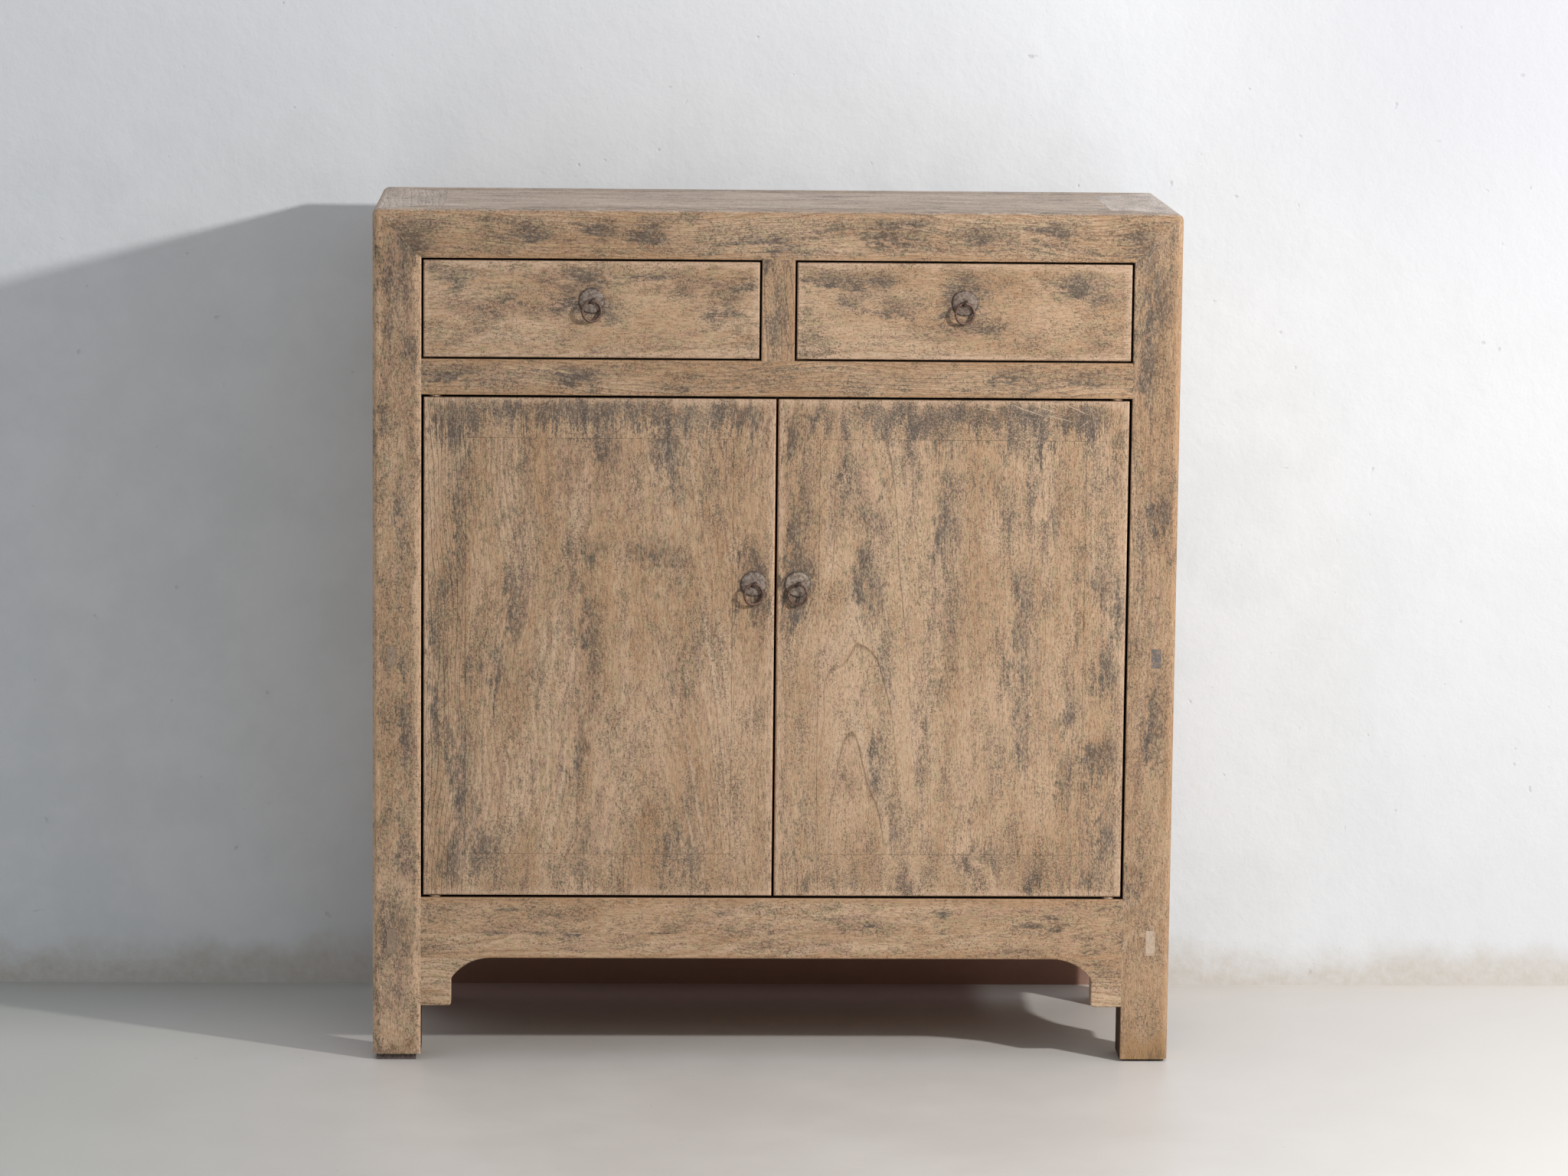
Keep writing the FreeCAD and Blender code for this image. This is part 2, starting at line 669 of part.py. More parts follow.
def make_door(side, place):
    """Frame, flush panel and pull of one door, drawn as the left one and placed by a function."""
    x = (-inner + door_gap, -door_gap / 2)
    y = (door_inset, door_inset + door_thickness)
    z = (door_opening_z + door_gap, drawer_rail_z - door_gap)
    blank = box(x, y, z)
    blank = blank.makeFillet(door_arris_radius, edges_in_plane(blank, "y", door_inset, lambda bounds: True))
    field_x = (x[0] + door_stile_width, x[1] - door_stile_width)
    field_z = (z[0] + door_bottom_rail_height, z[1] - door_top_rail_height)
    tongue_y = (
        door_inset + door_panel_thickness / 2 - door_tongue_thickness / 2,
        door_inset + door_panel_thickness / 2 + door_tongue_thickness / 2,
    )
    tongue_x = (field_x[0] - tongue_length, field_x[1] + tongue_length)
    tongue_z = (field_z[0] - tongue_length, field_z[1] + tongue_length)
    groove = grown_box(tongue_x, tongue_y, tongue_z)
    middle_y = door_inset + door_thickness / 2
    tenon_y = (middle_y - door_tenon_thickness / 2, middle_y + door_tenon_thickness / 2)
    tenon_x = (field_x[0] - door_tenon_length, field_x[1] + door_tenon_length)
    rail_spans = {"bottom": (z[0], field_z[0]), "top": (field_z[1], z[1])}
    tenon_spans = {}
    for key, (low, high) in rail_spans.items():
        tenon_spans[key] = (tenon_x, tenon_y, (low + tenon_shoulder, high - tenon_shoulder))
    stile_cuts = [groove] + [grown_box(*span) for span in tenon_spans.values()]

    pull_x = x[1] - door_stile_width / 2
    pull_z = door_opening_z + door_pull_rise
    hinge = blank.common(box((x[0], field_x[0]), y, z)).cut(stile_cuts)
    foot_z = door_opening_z - pivot_foot_length
    pivot_height = drawer_rail_z + pivot_top_length - foot_z
    pivot = Part.makeCylinder(pivot_radius, pivot_height, Vector(pivot_x, pivot_y, foot_z))
    below = box(x, (0, case_depth), (foot_z, z[0]))
    above = box(x, (0, case_depth), (z[1], z[1] + pivot_height))
    save(side + "_hinge_stile", place(joined(hinge, pivot.common(below), pivot.common(above))))
    meeting = blank.common(box((field_x[1], x[1]), y, z))
    meeting = meeting.cut(stile_cuts + [pull_cutter(pull_x, pull_z, door_thickness)])
    save(side + "_meeting_stile", place(meeting))
    rails = []
    for key, span in rail_spans.items():
        body = blank.common(box(field_x, y, span)).cut(groove)
        rails.append(place(joined(body, box(*tenon_spans[key]).cut(groove))))
    save(side + "_rails", *rails)
    board_y = (door_inset, door_inset + door_panel_thickness)
    board_x = (field_x[0] + board_gap, field_x[1] - board_gap)
    board_z = (field_z[0] + board_gap, field_z[1] - board_gap)
    save(side + "_panel", place(joined(box(board_x, board_y, board_z), box(tongue_x, tongue_y, tongue_z))))
    sign = 1 if place is same else -1
    make_pull(side, sign * pull_x, pull_z, door_thickness)


def same(shape):
    return shape


# Drawers


def make_drawer(side, place):
    """Box and pull of one drawer, drawn as the left one and placed by a function."""
    x = (drawer_outer_x, drawer_inner_x)
    z = (drawer_opening_z + drawer_gap, top_rail_z - drawer_gap)
    front_y = (door_inset, door_inset + drawer_front_thickness)
    end_y = back_leg_y - stop_depth - rest_gap
    middle_x = sum(x) / 2
    pull_z = sum(z) / 2 + drawer_pull_rise
    side_y = (front_y[1] - drawer_lap, end_y)
    side_z = (drawer_opening_z + rest_gap, z[1] - drawer_side_drop)
    left_x = (x[0], x[0] + drawer_side_thickness)
    right_x = (x[1] - drawer_side_thickness, x[1])
    bottom_z = (z[0] + drawer_bottom_rise, z[0] + drawer_bottom_rise + drawer_bottom_thickness)
    bottom_x = (left_x[1] - drawer_groove_depth, right_x[0] + drawer_groove_depth)
    bottom_y = (front_y[1] - drawer_groove_depth, end_y)
    groove = grown_box(bottom_x, (bottom_y[0], end_y + overrun), bottom_z)

    front = box(x, front_y, z)
    front = front.makeFillet(door_arris_radius, edges_in_plane(front, "y", door_inset, lambda bounds: True))
    laps = [box(span, side_y, side_z) for span in (left_x, right_x)]
    front = front.cut(laps + [groove, pull_cutter(middle_x, pull_z, drawer_front_thickness)])
    save(side + "_front", place(front))
    save(side + "_sides", *[place(lap.cut(groove)) for lap in laps])
    back_z = (bottom_z[1] + fit_gap, side_z[1] - drawer_back_drop)
    back_y = (end_y - drawer_side_thickness, end_y)
    save(side + "_back", place(box((left_x[1], right_x[0]), back_y, back_z)))
    save(side + "_bottom", place(box(bottom_x, bottom_y, bottom_z)))
    sign = 1 if place is same else -1
    make_pull(side, sign * middle_x, pull_z, drawer_front_thickness)


os.makedirs("parts", exist_ok=True)
case_shape = case_outline()
long_share, end_share = corner_parts()
make_legs(case_shape, long_share, end_share)
make_foot_pads()
make_top_rails(case_shape, long_share, end_share)
make_top_boards()
make_front_rails(case_shape)
make_aprons(case_shape)
make_side_frames(case_shape)
make_back(case_shape)
make_floor_and_shelf()
make_drawer_supports()
make_door_stop()
for side_name, side_place in (("left", same), ("right", mirror_x)):
    make_door("door_" + side_name, side_place)
    make_drawer("drawer_" + side_name, side_place)
print(len(pieces), "nodes; the front face lies at y =", round(origin_shift, 3))
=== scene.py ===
import math
from functools import reduce

import bmesh
import bpy
from mathutils import Matrix, Vector, noise


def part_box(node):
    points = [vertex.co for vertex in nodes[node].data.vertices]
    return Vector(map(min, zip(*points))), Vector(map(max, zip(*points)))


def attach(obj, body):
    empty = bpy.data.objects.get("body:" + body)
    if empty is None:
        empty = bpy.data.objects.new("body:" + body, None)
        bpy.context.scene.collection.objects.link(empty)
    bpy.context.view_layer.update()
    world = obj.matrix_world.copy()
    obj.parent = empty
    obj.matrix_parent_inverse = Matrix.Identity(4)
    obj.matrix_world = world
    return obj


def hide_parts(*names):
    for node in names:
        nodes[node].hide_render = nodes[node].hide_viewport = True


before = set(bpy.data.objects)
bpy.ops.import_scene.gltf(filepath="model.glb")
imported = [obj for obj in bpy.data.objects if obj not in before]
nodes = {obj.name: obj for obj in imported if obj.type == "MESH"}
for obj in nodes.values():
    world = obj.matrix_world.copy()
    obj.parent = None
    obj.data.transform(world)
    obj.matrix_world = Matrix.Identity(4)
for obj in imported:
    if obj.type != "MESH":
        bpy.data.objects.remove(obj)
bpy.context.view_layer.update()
scene = bpy.context.scene

MM = 0.001


# Shader maths

class Value:
    """A socket of a node tree, on which Python's operators add Math nodes."""

    def __init__(self, tree, socket):
        self.tree, self.socket = tree, socket

    def math(self, operation, *others):
        return self.tree.add("ShaderNodeMath", {"operation": operation}, dict(enumerate((self,) + others)))

    def __add__(self, other):
        return self.math("ADD", other)

    def __sub__(self, other):
        return self.math("SUBTRACT", other)

    def __rsub__(self, other):
        return self.tree.add("ShaderNodeMath", {"operation": "SUBTRACT"}, {0: other, 1: self})

    def __mul__(self, other):
        return self.math("MULTIPLY", other)

    def __truediv__(self, other):
        return self.math("DIVIDE", other)

    def __abs__(self):
        return self.math("ABSOLUTE")

    __radd__ = __add__
    __rmul__ = __mul__

    def least(self, other):
        return self.math("MINIMUM", other)

    def most(self, other):
        return self.math("MAXIMUM", other)

    def step(self, low, high, start=0.0, end=1.0):
        """Smooth step between two values."""
        return self.tree.add(
            "ShaderNodeMapRange",
            {"interpolation_type": "SMOOTHSTEP"},
            {"Value": self, "From Min": low, "From Max": high, "To Min": start, "To Max": end},
        )


class Tree:
    """The node tree of a material or a world, with one method that adds any node."""

    def __init__(self, owner):
        owner.use_nodes = True
        self.nodes, self.links = owner.node_tree.nodes, owner.node_tree.links

    def add(self, kind, settings=None, sockets=None, output=0):
        """Adds a node with its settings and the values or links of its sockets; gives one output."""
        node = self.nodes.new(kind)
        for key, value in (settings or {}).items():
            setattr(node, key, value)
        for key, value in (sockets or {}).items():
            self.put(node.inputs[key], value)
        return Value(self, node.outputs[output])

    def put(self, socket, value):
        if isinstance(value, Value):
            self.links.new(value.socket, socket)
        elif socket.type == "RGBA" and len(value) == 3:
            socket.default_value = (*value, 1.0)
        else:
            socket.default_value = value

    def parts(self, vector):
        split = self.nodes.new("ShaderNodeSeparateXYZ")
        self.put(split.inputs[0], vector)
        return [Value(self, socket) for socket in split.outputs]

    def point(self, x, y, z):
        return self.add("ShaderNodeCombineXYZ", None, {0: x, 1: y, 2: z})

    def noise(self, vector, scale=1.0, detail=2.0, roughness=0.5):
        return self.add(
            "ShaderNodeTexNoise", {"noise_dimensions": "3D"},
            {"Vector": vector, "Scale": scale, "Detail": detail, "Roughness": roughness})

    def mix(self, share, first, second):
        """Mixes two colours."""
        return self.add("ShaderNodeMix", {"data_type": "RGBA"}, {0: share, 6: first, 7: second}, 2)

    def coats(self, colour, *coats):
        """Lays tones over a colour, one after another, each by its share."""
        for share, tone in coats:
            colour = self.mix(share, colour, tone)
        return colour

    def bump(self, height, distance, strength):
        return self.add("ShaderNodeBump", None, {"Height": height, "Distance": distance, "Strength": strength})


class Finish(Tree):
    """A material under construction."""

    def __init__(self, name):
        self.material = bpy.data.materials.new(name)
        super().__init__(self.material)
        self.shader = self.nodes["Principled BSDF"]

    def set(self, **sockets):
        """Sets or links the shader's own sockets, with underscores for spaces."""
        for key, value in sockets.items():
            self.put(self.shader.inputs[key.replace("_", " ")], value)

    def place(self):
        """Object coordinates, in metres in the part's own frame."""
        return self.add("ShaderNodeTexCoord", output="Object")

    def oval(self, vector, x, z, half_x, half_z, slope=0.0):
        """Falls from 1 at a place on the front, in millimetres, to 0 at the rim of an oval round it."""
        local = self.add("ShaderNodeMapping", {"vector_type": "TEXTURE"}, {
            "Vector": vector, "Location": (x * MM, 0.0, z * MM), "Rotation": (0.0, math.radians(slope), 0.0),
            "Scale": (half_x * MM, THROUGH, half_z * MM)})
        return self.add("ShaderNodeTexGradient", {"gradient_type": "SPHERICAL"}, {"Vector": local}, "Fac")


# Washed elm

TAN = (0.510, 0.330, 0.198)
PALE = (0.645, 0.450, 0.295)
WARM = (0.430, 0.258, 0.140)
ROSY = (0.490, 0.300, 0.212)
OLIVE = (0.440, 0.338, 0.188)
BROWN = (0.300, 0.180, 0.100)
PORE = (0.175, 0.100, 0.056)
LIME = (0.680, 0.520, 0.370)
GREY_FILM = (0.200, 0.170, 0.144)
BROWN_FILM = (0.225, 0.165, 0.115)
OLIVE_FILM = (0.205, 0.185, 0.128)
BLUE_FILM = (0.192, 0.171, 0.158)
WORN_TONE = (0.725, 0.525, 0.365)
DARK_GREY = (0.070, 0.057, 0.049)
DARK_BROWN = (0.080, 0.050, 0.031)
# Painted shade on the sides of a gap behind the front, and painted light on the sides of the gap where the doors meet
GAP_SHADE = (0.046, 0.021, 0.011)
MEETING_GAP_LIGHT = (0.520, 0.270, 0.130)

# Sizes of the patterns in elm, across the grain and along it, in metres
WANDER, RIPPLE, STREAK = (0.16, 0.5), (0.030, 0.14), (0.0034, 0.13)
BROAD, BLOTCH, MOTTLE = (0.055, 0.24), (0.026, 0.070), (0.0080, 0.0150)
FIBRE, PORES, SPECKS = (0.0017, 0.0115), (0.0023, 0.0046), (0.0036, 0.0060)
GRIT_PER_METRE = 500.0
RINGS_SIDEWAYS = 14.0
SEED_STEP = 1.37

# Planes of the case, in metres from the middle of its foot
FRONT, REAR, CASE_TOP, HALF_WIDTH, LEG_INSIDE = -0.1825, 0.1923, 1.069, 0.500, 0.440
# Depths and distances at which a pattern begins, and at which it is full
PAINT_DEPTH = (-0.172, -0.179)
TENON_DEPTH = (-0.1818, -0.1824)
GAP_DEPTH = (-0.1812, -0.1794)
GAP_WIDTH = (0.0012, 0.0006)
RIM_WIDTH = (0.011, 0.002)
TOP_SKIN = (1.0660, 1.0688)
# A gap this close to the middle is the one where the doors meet, whose sides catch some light
MEETING_REACH = 0.01
# Marks on the front go through the whole board
THROUGH = 1000.0
SCRATCH_WIDTH = 1.8
# An oval with a half side under this many millimetres has its ends frayed less
THIN_OVAL = 9

# Places on the front where the old paint has stayed: middle x and z, half width and half height
# in millimetres, and weight
RESIDUE = (
    # left door
    (-225, 820, 240, 27, 1.3), (-400, 814, 50, 34, 1.5), (-335, 818, 40, 16, 0.5), (-255, 823, 34, 14, 0.6),
    (-190, 818, 52, 16, 0.7), (-112, 806, 40, 34, 1.0), (-55, 816, 60, 28, 1.2), (-208, 784, 22, 34, 0.7),
    (-128, 772, 34, 50, 0.8), (-120, 715, 30, 60, 0.55), (-393, 668, 11, 110, 0.85), (-412, 610, 34, 34, 0.5),
    (-388, 360, 20, 130, 0.8), (-368, 268, 34, 60, 0.8), (-318, 700, 24, 60, 0.4), (-325, 565, 20, 84, 0.7),
    (-345, 490, 20, 50, 0.8), (-300, 500, 20, 40, 0.6), (-222, 640, 26, 36, 0.6), (-228, 540, 20, 110, 0.7),
    (-245, 400, 12, 90, 0.8), (-150, 640, 60, 34, 0.8), (-28, 612, 26, 60, 1.25), (-125, 600, 30, 40, 0.5),
    (-110, 264, 34, 44, 0.7), (-200, 262, 24, 30, 0.5), (-420, 480, 20, 130, 0.8), (-240, 238, 24, 24, 0.7),
    (-404, 262, 30, 60, 0.6),
    # right door
    (222, 818, 236, 27, 1.1), (50, 815, 40, 22, 0.8), (115, 808, 44, 36, 1.0), (205, 790, 44, 34, 0.8),
    (288, 784, 34, 34, 0.8), (380, 814, 50, 30, 1.1), (20, 792, 24, 44, 0.9), (338, 788, 14, 34, 0.8),
    (430, 800, 16, 34, 0.7), (265, 733, 24, 32, 0.7), (215, 738, 16, 14, 0.6), (90, 740, 12, 62, 0.8),
    (30, 715, 20, 60, 0.7), (24, 668, 14, 55, 1.1), (28, 612, 32, 50, 1.3), (28, 572, 20, 34, 1.0),
    (105, 690, 50, 36, 0.6), (132, 730, 18, 40, 0.5), (108, 630, 26, 36, 0.9), (118, 584, 26, 60, 1.1),
    (130, 390, 14, 120, 0.6), (208, 675, 24, 60, 0.9), (222, 560, 16, 90, 0.5), (214, 500, 14, 60, 0.6),
    (306, 590, 24, 46, 0.8), (300, 540, 20, 70, 0.8), (428, 575, 16, 90, 0.8), (312, 500, 30, 36, 0.6),
    (310, 420, 12, 90, 0.6), (320, 728, 16, 26, 0.6), (348, 690, 18, 22, 0.6), (400, 605, 34, 44, 0.7),
    (42, 600, 14, 46, 0.4), (32, 325, 11, 60, 0.7), (418, 490, 24, 60, 0.7), (372, 440, 22, 56, 0.7),
    (412, 385, 38, 44, 1.1), (362, 365, 30, 70, 0.6), (265, 254, 40, 30, 0.9), (337, 234, 28, 16, 0.7),
    (418, 290, 26, 70, 0.8), (50, 245, 14, 40, 0.6), (100, 225, 40, 20, 0.5), (150, 290, 16, 60, 0.6),
    (395, 236, 34, 22, 0.8), (345, 590, 16, 90, 0.4), (187, 232, 30, 22, 0.6),
    # drawers
    (-236, 976, 38, 46, 1.0), (-215, 950, 30, 30, 0.7), (-390, 984, 40, 24, 0.7), (-322, 968, 28, 14, 0.6),
    (-150, 988, 74, 14, 0.7), (-112, 970, 22, 20, 0.5), (-62, 955, 22, 34, 0.6), (-40, 985, 18, 16, 0.5),
    (-405, 900, 20, 14, 0.5), (62, 986, 60, 18, 0.8), (125, 986, 44, 20, 0.8), (226, 968, 40, 50, 1.0),
    (205, 945, 28, 24, 0.7), (252, 984, 34, 14, 0.6), (372, 984, 48, 30, 0.7), (402, 966, 30, 26, 0.6),
    (145, 946, 34, 14, 0.7), (265, 925, 34, 16, 0.8), (85, 958, 46, 10, 0.6), (330, 985, 26, 20, 0.5),
    # top rail
    (-455, 1022, 54, 44, 1.0), (-310, 1045, 54, 22, 0.65), (-225, 1045, 30, 24, 0.8), (-160, 1045, 32, 26, 0.8),
    (-28, 1032, 66, 12, 0.8), (0, 1024, 24, 26, 0.9), (125, 1040, 80, 14, 0.8), (165, 1056, 70, 8, 0.6),
    (245, 1042, 90, 18, 0.5), (335, 1046, 66, 18, 0.8), (448, 1032, 36, 40, 0.7),
    # legs
    (-474, 990, 32, 50, 0.8), (-482, 920, 12, 70, 0.7), (-446, 890, 20, 60, 0.4), (-486, 806, 12, 50, 0.7),
    (-466, 670, 14, 90, 0.7), (-456, 440, 10, 180, 0.6), (-465, 275, 12, 70, 0.5), (-458, 165, 34, 50, 0.5),
    (-490, 140, 18, 40, 0.4), (468, 950, 28, 90, 0.9), (460, 870, 28, 60, 0.8), (480, 700, 15, 46, 1.0),
    (476, 430, 13, 90, 0.9), (447, 235, 18, 30, 0.7), (472, 190, 24, 60, 0.3), (455, 620, 14, 160, 0.4),
    # drawer rail, divider and bottom rail
    (-400, 865, 76, 16, 0.9), (-250, 865, 54, 18, 0.8), (-42, 858, 32, 12, 0.7), (282, 867, 44, 12, 0.9),
    (380, 860, 34, 10, 0.8), (0, 950, 16, 70, 0.5), (-345, 162, 26, 5, 1.0), (-150, 162, 34, 4, 0.8),
    (-310, 190, 80, 14, 0.35), (200, 176, 50, 10, 0.5), (355, 176, 44, 12, 0.6), (60, 182, 80, 8, 0.4),
    (-335, 193, 28, 6, 0.9), (-430, 180, 20, 14, 0.8), (-430, 142, 18, 14, 0.8), (-444, 152, 4, 34, 1.0),
    (-240, 163, 44, 5, 0.8), (-290, 163, 30, 4, 0.7), (125, 175, 14, 5, 1.0), (215, 190, 16, 8, 0.8),
    (325, 175, 28, 6, 1.0), (360, 170, 12, 8, 0.8), (345, 185, 30, 5, 0.7), (410, 142, 26, 10, 0.8),
    (395, 160, 20, 12, 0.6), (440, 150, 3, 30, 1.0), (295, 148, 24, 16, 0.4), (-60, 190, 30, 4, 0.5),
)

# Places where hands and sanding have worn the front pale, in the same form
WORN = (
    (-50, 430, 60, 170, 0.75), (-150, 430, 40, 130, 0.9), (-318, 340, 26, 90, 0.9), (-50, 650, 20, 40, 0.8),
    (-240, 720, 20, 90, 0.8), (-170, 735, 20, 50, 0.8), (-372, 610, 14, 120, 0.8), (-215, 420, 26, 90, 0.6),
    (-40, 290, 50, 80, 0.7), (-325, 725, 20, 50, 0.6), (75, 440, 50, 140, 1.0), (170, 440, 26, 160, 0.8),
    (240, 400, 26, 170, 0.9), (85, 320, 46, 90, 0.8), (236, 268, 34, 70, 0.9), (272, 670, 26, 60, 0.9),
    (60, 535, 40, 60, 0.8), (270, 480, 26, 70, 0.7), (330, 330, 40, 70, 0.7), (85, 738, 22, 30, 0.8),
    (245, 800, 14, 30, 0.7), (24, 520, 20, 40, 0.8), (180, 560, 20, 80, 0.5), (372, 540, 14, 60, 0.6),
    (120, 925, 90, 34, 0.55), (335, 930, 70, 34, 0.55), (72, 622, 30, 44, 0.7), (-195, 600, 18, 60, 0.7),
    (-300, 925, 80, 20, 0.4), (-370, 1022, 60, 16, 0.7), (60, 1048, 60, 14, 0.5),
)


def local_places(name, places):
    """The places of residue or wear that reach a node."""
    low, high = (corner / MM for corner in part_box(name))
    return [
        (x, z, half_x, half_z, weight) for x, z, half_x, half_z, weight in places
        if low.x - half_x < x < high.x + half_x and low.z - half_z < z < high.z + half_z]


def covered(finish, ragged, frayed, places):
    """How much of soft ovals covers the front; their ends are ragged, or frayed where an oval is thin."""
    return reduce(Value.most, (
        finish.oval(ragged if min(half_x, half_z) > THIN_OVAL else frayed, x, z, half_x, half_z) * weight
        for x, z, half_x, half_z, weight in places))


def elm(name, along, across, seed, heart=(0.2, 0.06), tilt=0.02, pitch=0.0052, core=0.30, flat=1.0, line=0.70,
        late=0.35, pale=0.35, length=1.0, brown=0.0, residue=0.27, patches=(), worn=(), rims=(), rim_tone=WARM,
        gaps=(), grey=0.0, bleach_and_light=0.20, end_tone=None, stains=(), scratches=()):
    """Open-grained elm: growth rings cut by the board's faces, pores, paint residue left in hollows.

    heart is the middle of the log across and behind the board, tilt how it leans along the board, and pitch
    the thickness of a ring. core and flat are how strong the rings show at the middle of the figure and at
    its sides, line is the share of a ring at which its dark latewood starts, late how dark that is, and pale
    how light the earlywood is. length is the share of the usual length of pores and fibres, and brown how
    much darker the board is. residue is how much old paint is left everywhere, patches are places that keep
    more of it, and worn places rubbed pale. rims are arrises, as two (axis, value) pairs, where sanding has
    left a clean band of rim_tone; a pale rim_tone there is also a painted highlight. gaps are sides whose
    faces behind the front get painted shade, and painted light in the gap where the doors meet. grey is how
    far the top has lost its colour, and bleach_and_light how much paler that makes it, which is partly
    painted light from above. end_tone colours a tenon that ends in the front, stains are places with their
    tones, and scratches are as in SCRATCHES."""
    finish = Finish(name)
    place = finish.place()
    xyz = dict(zip("XYZ", finish.parts(place)))
    deep = ({"X", "Y", "Z"} - {along, across}).pop()
    g, a, d = xyz[along], xyz[across], xyz[deep]
    shift = seed * SEED_STEP

    def grain(size, move, detail, roughness=0.5, reach=1.0):
        """Noise with features of a size across the grain and along it."""
        width, run = size
        return finish.noise(finish.point(
            a * (1 / width) + shift + move, d * (1 / width) - shift, g * (1 / (run * reach)) + move),
            detail=detail, roughness=roughness)

    # Growth rings
    wander = grain(WANDER, move=0.0, detail=2.0) - 0.5
    ripple = grain(RIPPLE, move=5.0, detail=2.0) - 0.5
    sideways = a - heart[0] + wander * 0.10 + ripple * 0.016
    depth = d - heart[1] - g * tilt + wander * 0.04
    radius = (sideways * sideways + depth * depth).math("SQRT")
    ring = (radius * (1 / pitch)).math("FRACT")
    figure = (abs(sideways) / radius).step(0.06, 0.40, core, flat)
    late_peak = line * 0.25 + 0.75
    latewood = ring.step(line, late_peak) * (1 - ring.step(late_peak, 1.0)) * figure
    earlywood = ring.step(0.0, 0.10) * (1 - ring.step(0.12, 0.34)) * figure

    # Patterns, of which the streaks follow the rings
    streak_width, streak_length = STREAK
    streaks = finish.noise(finish.point(
        radius * (1 / streak_width) + shift + 9.0, sideways * RINGS_SIDEWAYS - shift,
        g * (1 / streak_length) + 9.0), detail=4.0, roughness=0.68)
    broad = grain(BROAD, move=14.0, detail=3.0, roughness=0.6)
    fibre = grain(FIBRE, move=3.0, detail=3.0, roughness=0.70, reach=length)
    pores = grain(PORES, move=21.0, detail=2.0, roughness=0.65, reach=length)
    specks = grain(SPECKS, move=41.0, detail=2.0, roughness=0.65, reach=length)
    mottle = grain(MOTTLE, move=51.0, detail=3.0, roughness=0.65, reach=length)
    blotch = grain(BLOTCH, move=31.0, detail=6.0, roughness=0.76)
    grit = finish.noise(place, GRIT_PER_METRE, detail=1.0)

    # Bare wood
    colour = finish.coats(
        finish.mix(broad.step(0.36, 0.64), TAN, PALE),
        (streaks.step(0.46, 0.66) * 0.60, ROSY),
        (mottle.step(0.48, 0.62) * 0.55, OLIVE),
        ((mottle * 0.5 + streaks * 0.5).step(0.50, 0.38) * 0.60, WARM),
        (wander.step(-0.02, 0.12) * 0.35, WARM))
    if brown:
        colour = finish.mix(brown, colour, BROWN)

    # Old paint: how much is left, and where sanding, wear and handling have changed that
    weight = blotch * 1.6 - 0.80 + (streaks - 0.5) * 0.8 + (mottle - 0.5) * 0.35 + residue
    if rims:
        edge = reduce(Value.least, (
            abs(xyz[axis] - value).most(abs(xyz[other_axis] - other_value))
            for (axis, value), (other_axis, other_value) in rims))
        cleaned = (edge + (blotch - 0.5) * 0.020 + (mottle - 0.5) * 0.012).step(*RIM_WIDTH)
        weight = weight - cleaned * 0.22
        # The clean band takes rim_tone; a pale rim_tone also paints a highlight on the arris
        colour = finish.mix(cleaned * 0.70, colour, rim_tone)
    lengthwise = (streaks - 0.5) * 0.10 + (fibre - 0.5) * 0.07
    sidelong = (mottle - 0.5) * 0.05 + (blotch - 0.5) * 0.06
    torn = (sidelong, 0.0, lengthwise) if across == "X" else (lengthwise, 0.0, sidelong)
    ragged = finish.add("ShaderNodeVectorMath", {"operation": "ADD"}, {0: place, 1: finish.point(*torn)})
    frayed = finish.mix(0.25, place, ragged)
    if patches:
        painted = covered(finish, ragged, frayed, patches).step(0.0, 0.80)
        weight = weight + painted * xyz["Y"].step(*PAINT_DEPTH) * 0.50
    if worn:
        wear = covered(finish, ragged, frayed, worn).step(0.0, 0.85)
        weight = weight - wear * 0.22
        colour = finish.mix(wear * 0.42, colour, WORN_TONE)

    # Its thin film, and its dark remains in pores and hollows
    film = weight.step(0.12, 1.05)
    heavy = weight.step(0.0, 0.95) * 0.36
    dashes = (pores + weight * 0.15).step(0.54, 0.68)
    flecks = (specks + weight * 0.17).step(0.60, 0.74)
    dots = (grit + (blotch - 0.5) * 0.5 + weight * 0.06).step(0.60, 0.68)
    blueness = (broad * 0.4 + blotch * 0.35 + mottle * 0.25).step(0.46, 0.56)
    dark = finish.mix(blueness, DARK_BROWN, DARK_GREY)
    film_tone = finish.coats(
        finish.mix(blueness, BROWN_FILM, GREY_FILM),
        (mottle.step(0.48, 0.60), OLIVE_FILM),
        (weight.step(0.40, 0.90) * 0.70, BLUE_FILM))

    # Pores and paint over the wood
    colour = finish.coats(
        colour,
        (latewood * late, PORE),
        (fibre.step(0.44, 0.72) * 0.50, PORE),
        (fibre.step(0.46, 0.26) * 0.39, LIME),
        (earlywood * broad.step(0.35, 0.6) * pale, LIME),
        (film * 0.72, film_tone),
        (dashes * (heavy + 0.22), dark),
        (flecks * (heavy + 0.05), dark),
        (dots * 0.55, DARK_BROWN))

    # Marks of use and tenon ends, then painted shade and light in the gaps, and the greyed top
    for stain, tone in stains:
        colour = finish.mix(covered(finish, ragged, frayed, [stain]).step(0.0, 0.5) * 0.85, colour, tone)
    for x, z, mark_length, slope, tone in scratches:
        mark = finish.oval(place, x, z, mark_length / 2, SCRATCH_WIDTH / 2, slope).step(0.0, 0.6)
        colour = finish.mix(mark * pores.step(0.36, 0.52) * 0.7, colour, tone)
    if end_tone:
        cover = mottle.step(0.30, 0.60) * 0.5 + 0.35
        colour = finish.mix(xyz["Y"].step(*TENON_DEPTH) * cover, colour, end_tone)
